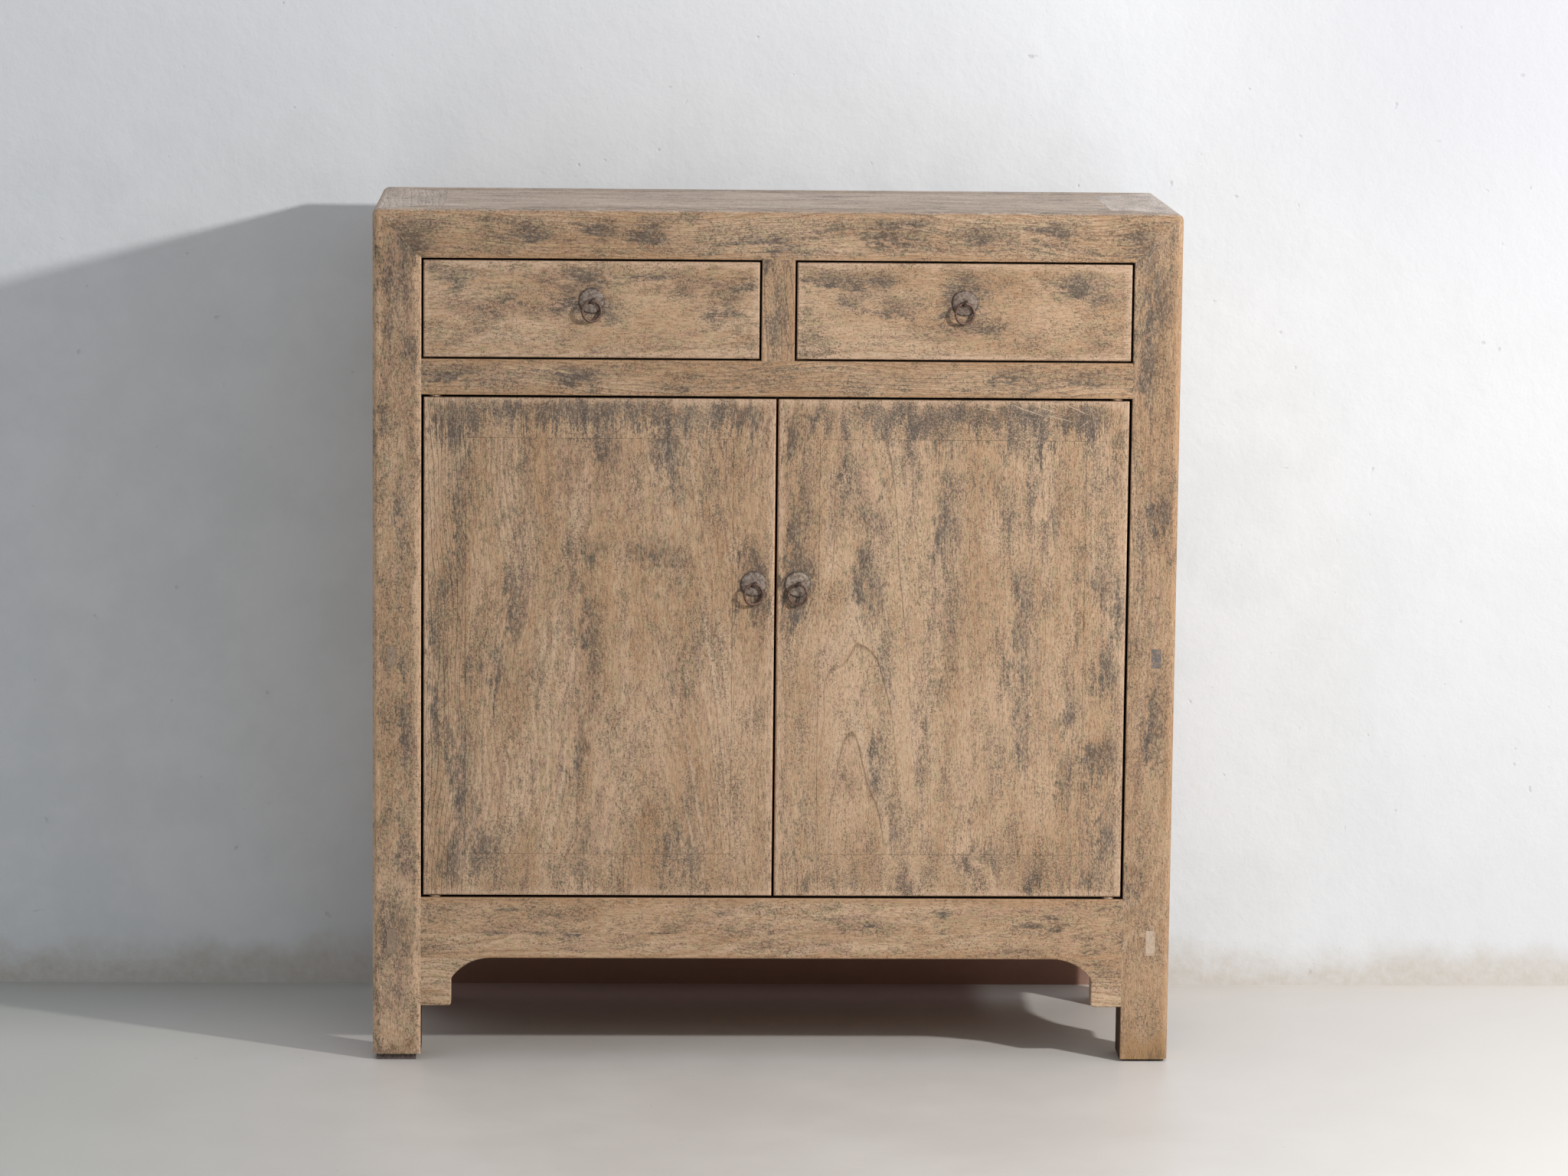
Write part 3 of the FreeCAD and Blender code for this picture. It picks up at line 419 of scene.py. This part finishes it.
    # Painted shade on each gap's sides behind the front; where the doors meet, painted light that those sides catch
    for axis, value in gaps:
        painted_gap_band = abs(xyz[axis] - value).step(*GAP_WIDTH) * xyz["Y"].step(*GAP_DEPTH)
        colour = finish.mix(painted_gap_band * 0.92, colour, MEETING_GAP_LIGHT if abs(value) < MEETING_REACH else GAP_SHADE)
    # Greyed top: weathered colour, made paler partly as painted light from above
    if grey:
        colour = finish.add("ShaderNodeHueSaturation", None, {
            "Fac": xyz["Z"].step(*TOP_SKIN), "Saturation": 1.0 - grey, "Value": 1.0 + grey * bleach_and_light,
            "Color": colour})

    height = fibre * -0.35 - dashes * 0.5 - latewood * late + blotch * 0.4
    finish.set(
        Base_Color=colour, Roughness=0.60 + film * 0.10 + fibre * 0.10, Specular_IOR_Level=0.30,
        Normal=finish.bump(height, distance=0.0008, strength=0.7))
    return finish.material


def dress(name, material):
    slots = nodes[name].data.materials
    slots.clear()
    slots.append(material)


def dress_elm(name, along, across, seed, **more):
    dress(name, elm(name.replace("_", " ") + " elm", along, across, seed, **more))


def outline_of(name):
    """The four sides of a node on the front, as (axis, value) pairs."""
    low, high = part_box(name)
    return [("X", low.x), ("X", high.x), ("Z", low.z), ("Z", high.z)]


OCHRE = (0.345, 0.205, 0.095)
FOOT_STAIN = (0.190, 0.115, 0.058)
GREY_TENON = (0.125, 0.124, 0.130)
PALE_TENON = (0.560, 0.445, 0.345)
LEG_TENON = (0.270, 0.205, 0.150)
# Sanded arris tones, paler still as painted light: on the left leg against the shade on its arris, on doors and
# drawers as a highlight along their bevels
SANDED_LIT_LEG_RIM = (0.780, 0.530, 0.345)
SANDED_HIGHLIGHT_RIM = (0.610, 0.430, 0.298)

FACE, BACK, TOP = ("Y", FRONT), ("Y", REAR), ("Z", CASE_TOP)
LEFT, RIGHT = ("X", -HALF_WIDTH), ("X", HALF_WIDTH)
LEFT_LEG_INSIDE, RIGHT_LEG_INSIDE = ("X", -LEG_INSIDE), ("X", LEG_INSIDE)
UNDER_TOP_RAIL, OVER_DRAWER_RAIL, UNDER_DRAWER_RAIL = ("Z", 1.009), ("Z", 0.884), ("Z", 0.840)
OVER_BOTTOM_RAIL, UNDER_APRON = ("Z", 0.208), ("Z", 0.131)
DIVIDER_SIDES = [("X", -0.0205), ("X", 0.0205)]


def front_rims(*sides):
    return [(side, FACE) for side in sides]


# Each board's grain axis, the axis across it, how much residue it keeps, and what else sets it apart
OUTER_BOARDS = {
    "leg_front_left": ("Z", "X", 0.36, {
        "rims": front_rims(LEFT, LEFT_LEG_INSIDE), "rim_tone": SANDED_LIT_LEG_RIM, "gaps": [LEFT_LEG_INSIDE],
        "heart": (-0.47, 0.03), "brown": 0.05, "late": 0.5, "stains": [((-474, 6, 40, 20, 0.5), FOOT_STAIN)]}),
    "leg_front_right": ("Z", "X", 0.30, {
        "rims": front_rims(RIGHT), "gaps": [RIGHT_LEG_INSIDE], "heart": (0.52, 0.02), "brown": 0.22,
        "stains": [((478, 4, 60, 34, 1.0), OCHRE), ((474, -4, 44, 20, 0.8), FOOT_STAIN)]}),
    "leg_back_left": ("Z", "Y", 0.36, {"rims": [(LEFT, BACK)]}),
    "leg_back_right": ("Z", "Y", 0.36, {"rims": [(RIGHT, BACK)]}),
    "top_rail_front": ("X", "Z", 0.37, {
        "rims": front_rims(TOP, UNDER_TOP_RAIL), "gaps": [UNDER_TOP_RAIL], "grey": 0.30, "brown": 0.04}),
    "top_rail_back": ("X", "Z", 0.36, {"rims": [(TOP, BACK)], "grey": 0.30}),
    "top_rail_left": ("Y", "X", 0.22, {"rims": [(TOP, LEFT)], "grey": 0.42}),
    "top_rail_right": ("Y", "X", 0.22, {
        "rims": [(TOP, RIGHT)], "grey": 0.54, "bleach_and_light": 0.56, "heart": (0.40, -0.04), "tilt": 0.5,
        "pitch": 0.0065, "pale": 0.9}),
    "top_board_front": ("X", "Y", 0.22, {"grey": 0.35, "bleach_and_light": 0.36}),
    "top_board_back": ("X", "Y", 0.22, {"grey": 0.35, "bleach_and_light": 0.36}),
    "drawer_rail": ("X", "Z", 0.36, {
        "brown": 0.05, "rims": front_rims(UNDER_DRAWER_RAIL, OVER_DRAWER_RAIL), "gaps": [UNDER_DRAWER_RAIL]}),
    "drawer_divider": ("Z", "X", 0.46, {
        "brown": 0.08, "rims": front_rims(*DIVIDER_SIDES), "gaps": DIVIDER_SIDES}),
    "bottom_rail_front": ("X", "Z", 0.25, {"rims": front_rims(OVER_BOTTOM_RAIL), "gaps": [OVER_BOTTOM_RAIL]}),
    "apron_front": ("X", "Z", 0.22, {"rims": front_rims(UNDER_APRON)}),
    "front_brackets": ("X", "Z", 0.26, {}),
    "side_brackets": ("Y", "Z", 0.26, {}),
    "side_rail_left": ("Y", "Z", 0.32, {"end_tone": LEG_TENON}),
    "side_rail_right": ("Y", "Z", 0.32, {"end_tone": PALE_TENON}),
    "shelf_rail_left": ("Y", "Z", 0.40, {"end_tone": LEG_TENON}),
    "shelf_rail_right": ("Y", "Z", 0.40, {"end_tone": GREY_TENON}),
    "side_panel_left": ("Z", "Y", 0.34, {"heart": (0.02, 0.12), "tilt": 0.05}),
    "side_panel_right": ("Z", "Y", 0.34, {"heart": (-0.02, 0.12), "tilt": -0.05}),
    "back_rail_low": ("X", "Z", 0.28, {}),
    "back_post": ("Z", "X", 0.28, {}),
    "back_panel_left": ("Z", "X", 0.28, {"heart": (-0.22, 0.10), "tilt": 0.04}),
    "back_panel_right": ("Z", "X", 0.28, {"heart": (0.24, 0.12), "tilt": -0.05}),
}
INNER_BOARDS = {
    "top_battens": ("Y", "X"), "back_drawer_rail": ("X", "Z"), "floor_board": ("X", "Y"), "shelf": ("X", "Y"),
    "drawer_runners": ("Y", "X"), "drawer_guides": ("Y", "X"), "drawer_stops": ("Z", "X"), "door_stop": ("X", "Z"),
}
for side in ("left", "right"):
    INNER_BOARDS["drawer_%s_sides" % side] = ("Y", "Z")
    INNER_BOARDS["drawer_%s_back" % side] = ("X", "Z")
    INNER_BOARDS["drawer_%s_bottom" % side] = ("X", "Y")
FRONTED = ("leg_front", "top_rail_front", "drawer_rail", "drawer_divider", "bottom_rail_front", "apron_front")
OUTER_SEED, INNER_SEED, DOOR_SEED, DRAWER_SEED = 1.0, 40.0, 50.0, 80.0

for count, (name, (along, across, residue, more)) in enumerate(OUTER_BOARDS.items()):
    patches = local_places(name, RESIDUE) if name.startswith(FRONTED) else ()
    dress_elm(name, along, across, OUTER_SEED + count, residue=residue, patches=patches, **more)
for count, (name, (along, across)) in enumerate(INNER_BOARDS.items()):
    dress_elm(name, along, across, INNER_SEED + count, residue=0.08, brown=0.35)

PLAIN_GRAIN = {"late": 0.14, "pale": 0.20}
DOOR_GRAIN = {
    "door_left_panel": {"heart": (-0.185, 0.10), "tilt": 0.055, "pitch": 0.0048, "late": 0.22, "pale": 0.45},
    "door_left_hinge_stile": {"heart": (-0.75, 0.05), "tilt": 0.01, "pitch": 0.0042, "late": 0.60, "pale": 0.30},
    "door_right_panel": {
        "heart": (0.112, -0.076), "tilt": 0.030, "pitch": 0.0078, "late": 0.60, "pale": 0.30, "core": 1.0,
        "flat": 0.50, "line": 0.92},
}
# Pale knife scratches, as middle x and z and length in millimetres, slope in degrees, and tone
SCRATCHES = [
    (318, 822, 46, 20, LIME), (334, 826, 40, 17, LIME), (350, 815, 52, 14, LIME), (372, 826, 44, 24, LIME),
    (386, 812, 34, -38, LIME), (396, 806, 30, -46, LIME), (300, 828, 26, 26, LIME), (262, 826, 30, 12, LIME),
]


def worn_front(name, along, across, seed, sides, **more):
    """A board of a door or drawer front, with its residue, wear and sanding, a pale rim that is also a painted
    highlight, and painted shade in its gaps and painted light in the doors' meeting gap.
    """
    dress_elm(
        name, along, across, seed, patches=local_places(name, RESIDUE), worn=local_places(name, WORN),
        rims=front_rims(*sides), rim_tone=SANDED_HIGHLIGHT_RIM, gaps=sides, **more)


for count, side in enumerate(("left", "right")):
    meeting, hinge = (outline_of("door_%s_%s_stile" % (side, stile)) for stile in ("meeting", "hinge"))
    sides = [hinge[count], meeting[1 - count], *meeting[2:]]
    for part in ("hinge_stile", "meeting_stile", "panel", "rails"):
        name = "door_%s_%s" % (side, part)
        worn_front(
            name, "Z", "X", DOOR_SEED + count * 10, sides, residue=0.29, length=0.45 if part == "rails" else 1.0,
            scratches=SCRATCHES if name == "door_right_rails" else (), **DOOR_GRAIN.get(name, PLAIN_GRAIN))
    name = "drawer_%s_front" % side
    worn_front(
        name, "X", "Z", DRAWER_SEED + count, outline_of(name), residue=0.30, heart=(0.95, 0.09), tilt=0.03)


# Ring pulls

# Painted shade at a plate's edge, and the distances from its middle at which it begins and is full
PLATE_EDGE_SHADE = (0.055, 0.038, 0.030)
IRON_MOTTLE, PLATE_MOTTLE, IRON_PITS = 420.0, 260.0, 1500.0
EDGE_SHADE_REACH = (0.0138, 0.0156)


def wrought(name, colour, rust, glint, rough, metallic, centre=None):
    """Old iron, mottled and pitted; a plate is mottled more broadly, and has painted shade towards its edge."""
    finish = Finish(name)
    place = finish.place()
    mottle = finish.noise(place, PLATE_MOTTLE if centre else IRON_MOTTLE, detail=4.0, roughness=0.62)
    pits = finish.noise(place, IRON_PITS)
    shade = finish.coats(colour, (mottle.step(0.40, 0.64), rust), (pits.step(0.56, 0.72) * 0.7, glint))
    if centre:
        across, _, up = finish.parts(place)
        across, up = across - centre.x, up - centre.z
        reach = (across * across + up * up).math("SQRT")
        # Painted shadow round the plate's edge, where it stands off the wood
        shade = finish.mix((reach + (mottle - 0.5) * 0.003).step(*EDGE_SHADE_REACH) * 0.85, shade, PLATE_EDGE_SHADE)
    finish.set(
        Base_Color=shade, Metallic=metallic, Roughness=rough + mottle * 0.25,
        Normal=finish.bump(mottle + pits * 0.4, distance=0.0005, strength=0.8))
    return finish.material


ring_iron = wrought(
    "brown ring iron", (0.080, 0.041, 0.028), rust=(0.155, 0.082, 0.056), glint=(0.46, 0.36, 0.28),
    rough=0.36, metallic=0.40)
pin_iron = wrought(
    "dark pin iron", (0.040, 0.025, 0.019), rust=(0.075, 0.043, 0.030), glint=(0.17, 0.12, 0.09),
    rough=0.40, metallic=0.45)

# Vertices closer than this are one
WELD = 1e-6


def build(name, shape, material, body, instead=()):
    """Makes a closed bmesh into a smooth-shaded piece that rides on a body."""
    bmesh.ops.remove_doubles(shape, verts=shape.verts, dist=WELD)
    bmesh.ops.recalc_face_normals(shape, faces=shape.faces)
    for face in shape.faces:
        face.smooth = True
    mesh = bpy.data.meshes.new(name)
    shape.to_mesh(mesh)
    shape.free()
    mesh.materials.append(material)
    piece = bpy.data.objects.new(name, mesh)
    scene.collection.objects.link(piece)
    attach(piece, body)
    if instead:
        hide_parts(*instead)


def edges_of(items):
    return [item for item in items if isinstance(item, bmesh.types.BMEdge)]


def verts_of(items):
    return [item for item in items if isinstance(item, bmesh.types.BMVert)]


# Half section of a plate, as radius and height over the wood
PLATE_PROFILE = (
    (0.0, 0.0), (0.0150, 0.0), (0.0159, 0.0003), (0.0161, 0.0008), (0.0156, 0.0013), (0.0140, 0.0016),
    (0.0105, 0.0019), (0.0060, 0.0022), (0.0, 0.0023))
# How much beating has moved its rim, as a share of the radius, and its face, each with the blows' fineness
RIM_BEATEN, RIM_BLOWS = 0.05, 70
FACE_BEATEN, FACE_BLOWS = 0.0005, 220
# Up to this height over the wood the plate isn't moved, so that its back is flat
PLATE_BACK = 0.0002


def pull_plate(name, eye, face_y, seed, iron, body):
    """Slightly domed round plate of beaten sheet."""
    shape = bmesh.new()
    points = [shape.verts.new((eye.x + radius, face_y - height, eye.z)) for radius, height in PLATE_PROFILE]
    edges = [shape.edges.new(pair) for pair in zip(points, points[1:])]
    bmesh.ops.spin(
        shape, geom=points + edges, cent=(eye.x, 0.0, eye.z), axis=(0.0, 1.0, 0.0), angle=math.tau, steps=64,
        use_merge=True)
    bmesh.ops.remove_doubles(shape, verts=shape.verts, dist=WELD)
    for vert in shape.verts:
        out = vert.co - Vector((eye.x, vert.co.y, eye.z))
        vert.co += out * RIM_BEATEN * noise.noise(out * RIM_BLOWS + Vector((seed, 0.0, 0.0)))
        if vert.co.y < face_y - PLATE_BACK:
            vert.co.y += FACE_BEATEN * noise.noise(out * FACE_BLOWS + Vector((0.0, seed, 0.0)))
    build(name + "_round_plate", shape, iron, body, instead=[name + "_plate"])


# Radii of the pin's wire and of its eye, the angle at which its bend starts, and how far it goes round
PIN_WIRE, PIN_EYE = 0.00145, 0.0036
PIN_OPENS, PIN_SWEEP = 38, 284
# How deep its legs go into the wood, and how far each is from their middle
PIN_SINKS, PIN_LEG_APART = 0.004, 0.0013


def split_pin(name, eye, face_y, turn, body):
    """Bent wire whose open eye holds the ring, its two legs driven through the plate."""
    shape = bmesh.new()
    wire = bmesh.ops.create_circle(
        shape, cap_ends=False, segments=12, radius=PIN_WIRE,
        matrix=Matrix.Translation(eye + Vector((0.0, PIN_EYE, 0.0))))["verts"]
    bmesh.ops.rotate(shape, verts=wire, cent=eye, matrix=Matrix.Rotation(math.radians(PIN_OPENS), 3, "X"))
    loop = list({edge for vert in wire for edge in vert.link_edges})
    swept = bmesh.ops.spin(
        shape, geom=wire + loop, cent=eye, axis=(1.0, 0.0, 0.0), angle=math.radians(PIN_SWEEP), steps=24)["geom_last"]
    for ends, side in ((loop, 1), (edges_of(swept), -1)):
        leg = bmesh.ops.extrude_edge_only(shape, edges=ends)["geom"]
        moved = verts_of(leg)
        target = Vector((eye.x, face_y + PIN_SINKS, eye.z + PIN_LEG_APART * side))
        middle = sum((vert.co for vert in moved), Vector()) / len(moved)
        bmesh.ops.translate(shape, verts=moved, vec=target - middle)
        bmesh.ops.contextual_create(shape, geom=edges_of(leg))
    bmesh.ops.rotate(shape, verts=shape.verts, cent=eye, matrix=Matrix.Rotation(math.radians(turn), 3, "Y"))
    build(name + "_split_pin", shape, pin_iron, body)


# Shares of the solid ring's wire: the mean, how much thinner the top is, and the unevenness, with its fineness
RING_MEAN, RING_WORN, RING_UNEVEN, RING_BLOWS = 0.95, 0.06, 0.12, 160
# The share of its width that is left, and the size and depth of hammer marks, with a shift for each axis
RING_NARROW = 0.93
HAMMER_SIZE, HAMMER_DEPTH = 0.0035, 0.00012
HAMMER_SHIFTS = (Vector((9.3, -1.5, -8.0)), Vector((0.0, 0.0, 0.0)), Vector((-3.7, 12.6, 5.4)))


def pull_ring(name, eye, seed, twist, body):
    """Hand-forged ring: round wire, thinner at its top, a little uneven, hanging slightly askew in its eye."""
    low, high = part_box(name + "_ring")
    centre = (low + high) / 2
    wire = (high.y - low.y) / 2
    reach = (high.x - low.x) / 2 - wire
    shape = bmesh.new()
    section = bmesh.ops.create_circle(
        shape, cap_ends=False, segments=14, radius=wire,
        matrix=Matrix.Translation(centre + Vector((reach, 0.0, 0.0))))["verts"]
    bmesh.ops.spin(
        shape, geom=section + list({edge for vert in section for edge in vert.link_edges}), cent=centre,
        axis=(0.0, 1.0, 0.0), angle=math.tau, steps=56, use_merge=True)
    bmesh.ops.remove_doubles(shape, verts=shape.verts, dist=WELD)
    offset = Vector((seed, 0.0, 0.0))
    for vert in shape.verts:
        out = Vector((vert.co.x - centre.x, 0.0, vert.co.z - centre.z)).normalized() * reach
        line = centre + out
        thick = RING_MEAN - RING_WORN * out.z / reach + RING_UNEVEN * noise.noise(out * RING_BLOWS + offset)
        vert.co = line + (vert.co - line) * thick
        vert.co.x = centre.x + (vert.co.x - centre.x) * RING_NARROW
        blow = vert.co / HAMMER_SIZE + offset
        vert.co += Vector([noise.noise(blow + shift) for shift in HAMMER_SHIFTS]) * HAMMER_DEPTH
    bmesh.ops.rotate(shape, verts=shape.verts, cent=eye, matrix=Matrix.Rotation(math.radians(twist), 3, "Z"))
    build(name + "_forged_ring", shape, ring_iron, body, instead=[name + "_ring"])


# Each pull's turn of the split pin and twist of the ring, in degrees, and the colour of its plate
GREY_PLATE, BROWN_PLATE, PALE_PLATE = (0.284, 0.230, 0.191), (0.269, 0.209, 0.168), (0.358, 0.291, 0.232)
RUSTED, GLINTING = (0.42, 0.35, 0.31), 1.6
PLATE_SEED, RING_SEED, RING_SEED_STEP = 3.5, 1.0, 7.3
PULLS = (
    ("door_left", 52, 13, GREY_PLATE), ("door_right", 46, -12, PALE_PLATE),
    ("drawer_left", 44, 14, GREY_PLATE), ("drawer_right", 38, 10, BROWN_PLATE))
for seed, (hung, turn, twist, tone) in enumerate(PULLS):
    low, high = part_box(hung + "_pull_plate")
    ring_low, ring_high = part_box(hung + "_ring")
    eye = Vector(((low.x + high.x) / 2, (ring_low.y + ring_high.y) / 2, (low.z + high.z) / 2))
    kind, side = hung.split("_")
    face_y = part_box(hung + ("_meeting_stile" if kind == "door" else "_front"))[0].y
    plate_iron = wrought(
        hung.replace("_", " ") + " plate iron", tone, rust=[part * share for part, share in zip(tone, RUSTED)],
        glint=[part * GLINTING for part in tone], rough=0.45, metallic=0.25, centre=eye)
    pull_plate(hung + "_pull", eye, face_y, PLATE_SEED + seed, plate_iron, hung)
    split_pin(hung + "_pull", eye, face_y, turn, hung)
    pull_ring(hung, eye, RING_SEED + seed * RING_SEED_STEP, twist, "%s_ring_%s" % (kind, side))

PAD_MOTTLE = 260.0
for name, light, dark in (
        ("foot_pad_front_left", (0.150, 0.118, 0.105), (0.075, 0.058, 0.050)),
        ("foot_pads", (0.060, 0.048, 0.036), (0.028, 0.022, 0.018))):
    pad = Finish(name.replace("_", " ") + " scrap wood")
    spots = pad.noise(pad.place(), PAD_MOTTLE, detail=4.0, roughness=0.6)
    pad.set(
        Base_Color=pad.mix(spots.step(0.35, 0.65), light, dark), Roughness=0.9,
        Normal=pad.bump(spots, distance=0.0006, strength=0.8))
    dress(name, pad.material)


# Floor, with the cabinet's painted shadow under it and beside it, painted shade to the left and painted light to the
# right

FLOOR_GREY, FLOOR_PALE = (0.605, 0.577, 0.545), (0.650, 0.625, 0.592)
FLOOR_CHIP = (0.22, 0.19, 0.16)
# Painted light towards the right and painted shade towards the left
FLOOR_RIGHT_LIGHT, FLOOR_LEFT_SHADE = (0.720, 0.690, 0.655), (0.520, 0.520, 0.480)
# Painted shadow of the cabinet beside it near the wall, and under it
FLOOR_CORNER_SHADOW = (0.385, 0.395, 0.372)
FLOOR_UNDER_SHADOW = (0.260, 0.168, 0.152)

floor = Finish("pale painted floor")
ground = floor.place()
floor_x, floor_y, _ = floor.parts(ground)
spots = floor.noise(ground, scale=3.0, detail=6.0, roughness=0.65)
chips = floor.noise(ground, scale=55.0).step(0.74, 0.80)
# Painted shadow: left of the cabinet near the wall, and under it, leaving the lit patch at the right
corner = floor_x.step(-0.44, -0.54) * floor_y.step(-0.14, 0.20)
under_cabinet_shadow = floor_x.step(-0.49, -0.40) * floor_x.step(0.315, 0.265) * floor_y.step(-0.04, 0.20) * floor_y.step(0.285, 0.265)
floor.set(
    Base_Color=floor.coats(
        floor.mix(spots.step(0.35, 0.65), FLOOR_GREY, FLOOR_PALE),
        (chips * 0.5, FLOOR_CHIP),
        # Painted light lighter to the right, painted shade darker to the left
        (floor_x.step(0.20, 1.30) * 0.8, FLOOR_RIGHT_LIGHT),
        (floor_x.step(-0.40, -1.00) * 0.8, FLOOR_LEFT_SHADE),
        (corner * 0.9, FLOOR_CORNER_SHADOW),
        (under_cabinet_shadow * 0.92, FLOOR_UNDER_SHADOW)),
    Roughness=0.34 + spots * 0.12, Normal=floor.bump(spots, distance=0.004, strength=0.4))


# Wall, clear from behind so that the cabinet's back can be seen

WALL_GREY, WALL_PALE = (0.735, 0.765, 0.785), (0.785, 0.812, 0.835)
# Painted light higher up; painted shade to the right and in the upper right
WALL_HIGH_LIGHT, WALL_RIGHT_SHADE, WALL_CORNER_SHADE = (0.865, 0.885, 0.920), (0.665, 0.675, 0.695), (0.620, 0.625, 0.665)
# The last tone is the cabinet's painted shadow on the wall behind and under it
WALL_PIT, WALL_GRIME, WALL_UNDER_SHADOW = (0.45, 0.43, 0.40), (0.52, 0.46, 0.38), (0.285, 0.132, 0.086)

plaster = Finish("rough white wall")
ground = plaster.place()
wall_x, _, wall_z = plaster.parts(ground)
waves = plaster.noise(ground, scale=9.0, detail=5.0, roughness=0.62)
grit = plaster.noise(ground, scale=95.0, detail=3.0, roughness=0.6)
pits = plaster.noise(ground, scale=48.0).step(0.72, 0.78)
grime = (wall_z + (waves - 0.5) * 0.10).step(0.070, 0.012) * (0.35 + grit * 0.7)
# Painted shadow: the wall behind and under the cabinet, dark and reddish
behind_cabinet_shadow = abs(wall_x).step(0.49, 0.43) * wall_z.step(0.16, 0.10)
plaster.set(
    Base_Color=plaster.coats(
        plaster.mix(waves.step(0.35, 0.65), WALL_GREY, WALL_PALE),
        # Painted light, lighter higher up
        (wall_z.step(0.85, 1.40) * 0.8, WALL_HIGH_LIGHT),
        # Painted shade, darker to the right and in the upper right, toning down the lamp's bright patch
        (wall_x.step(0.30, 1.30) * 0.9, WALL_RIGHT_SHADE),
        (wall_x.step(0.35, 0.95) * wall_z.step(0.75, 1.25) * 0.8, WALL_CORNER_SHADE),
        (pits * 0.35, WALL_PIT),
        (grime * 0.8, WALL_GRIME),
        (behind_cabinet_shadow * 0.9, WALL_UNDER_SHADOW)),
    Roughness=0.85, Normal=plaster.bump(waves + grit * 0.22 - pits * 0.35, distance=0.008, strength=0.28))
behind = plaster.add("ShaderNodeNewGeometry", output="Backfacing")
clear = plaster.add("ShaderNodeBsdfTransparent")
shown = plaster.add(
    "ShaderNodeMixShader", None, {0: behind, 1: Value(plaster, plaster.shader.outputs[0]), 2: clear})
plaster.put(plaster.nodes["Material Output"].inputs["Surface"], shown)


def plane(name, corners, material):
    mesh = bpy.data.meshes.new(name)
    shape = bmesh.new()
    shape.faces.new([shape.verts.new(corner) for corner in corners])
    shape.to_mesh(mesh)
    shape.free()
    mesh.materials.append(material)
    item = bpy.data.objects.new(name, mesh)
    scene.collection.objects.link(item)
    return item


FLOOR_END = 8
WALL_Y, WALL_END, WALL_TOP = 0.268, 2.2, 3
# Above this height the wall is only seen: it casts no shadow and sends no light back
SKIRT_TOP = 0.20


def wall_strip(name, low, high):
    return plane(name, [
        (-WALL_END, WALL_Y, low), (WALL_END, WALL_Y, low), (WALL_END, WALL_Y, high), (-WALL_END, WALL_Y, high)],
        plaster.material)


plane("floor", [
    (-FLOOR_END, -FLOOR_END, 0), (FLOOR_END, -FLOOR_END, 0), (FLOOR_END, FLOOR_END, 0), (-FLOOR_END, FLOOR_END, 0)],
    floor.material)
wall = wall_strip("wall", SKIRT_TOP, WALL_TOP)
wall.visible_shadow = False
wall.visible_diffuse = False
wall_strip("wall_foot", 0, SKIRT_TOP)


# Lamp and room

KEY_PLACE, KEY_AIM = Vector((2.443, -1.990, 1.834)), Vector((0.3, -0.18, 0.6))
key_data = bpy.data.lights.new("key", "AREA")
key_data.shape = "DISK"
key_data.size = 0.16
key_data.energy = 86.0
key_data.color = (1.0, 0.985, 0.965)
key = bpy.data.objects.new("key", key_data)
key.location = KEY_PLACE
key.rotation_mode = "QUATERNION"
key.rotation_quaternion = (KEY_PLACE - KEY_AIM).to_track_quat("Z", "Y")
scene.collection.objects.link(key)

ROOM_LOW, ROOM_HIGH, BACKDROP = (0.050, 0.051, 0.054), (0.70, 0.72, 0.76), (0.86, 0.86, 0.87)
world = bpy.data.worlds.new("pale room")
scene.world = world
room = Tree(world)
# Soft light comes mostly from above, little from near the floor
_, _, rise = room.parts(room.add("ShaderNodeTexCoord", output="Generated"))
soft = room.mix(rise.step(0.0, 0.70), ROOM_LOW, ROOM_HIGH)
seen = reduce(Value.most, (
    room.add("ShaderNodeLightPath", output=ray)
    for ray in ("Is Camera Ray", "Is Transmission Ray", "Is Glossy Ray")))
room.put(room.nodes["Background"].inputs["Color"], room.mix(seen, soft, BACKDROP))


# Camera, fitted to the photograph: angles in radians, and the focal length in pixels

PITCH, YAW, ROLL = 0.1443, 0.0367, 0.0105
CAMERA_PLACE = (-0.2390, -6.9748, 1.5888)
FOCAL_LENGTH, PHOTO_WIDTH, SENSOR_WIDTH = 7219.4, 2048, 36.0
toward = Vector((math.sin(YAW) * math.cos(PITCH), math.cos(YAW) * math.cos(PITCH), -math.sin(PITCH)))
level = Vector((math.cos(YAW), -math.sin(YAW), 0.0))
upright = level.cross(toward)
right = level * math.cos(ROLL) + upright * math.sin(ROLL)
up = upright * math.cos(ROLL) - level * math.sin(ROLL)
lens = bpy.data.cameras.new("camera")
lens.sensor_width = SENSOR_WIDTH
lens.lens = FOCAL_LENGTH / PHOTO_WIDTH * SENSOR_WIDTH
lens.clip_end = 60.0
camera = bpy.data.objects.new("camera", lens)
camera.matrix_world = Matrix.Translation(CAMERA_PLACE) @ Matrix((right, up, -toward)).transposed().to_4x4()
scene.collection.objects.link(camera)
scene.camera = camera

scene.view_settings.view_transform = "Standard"
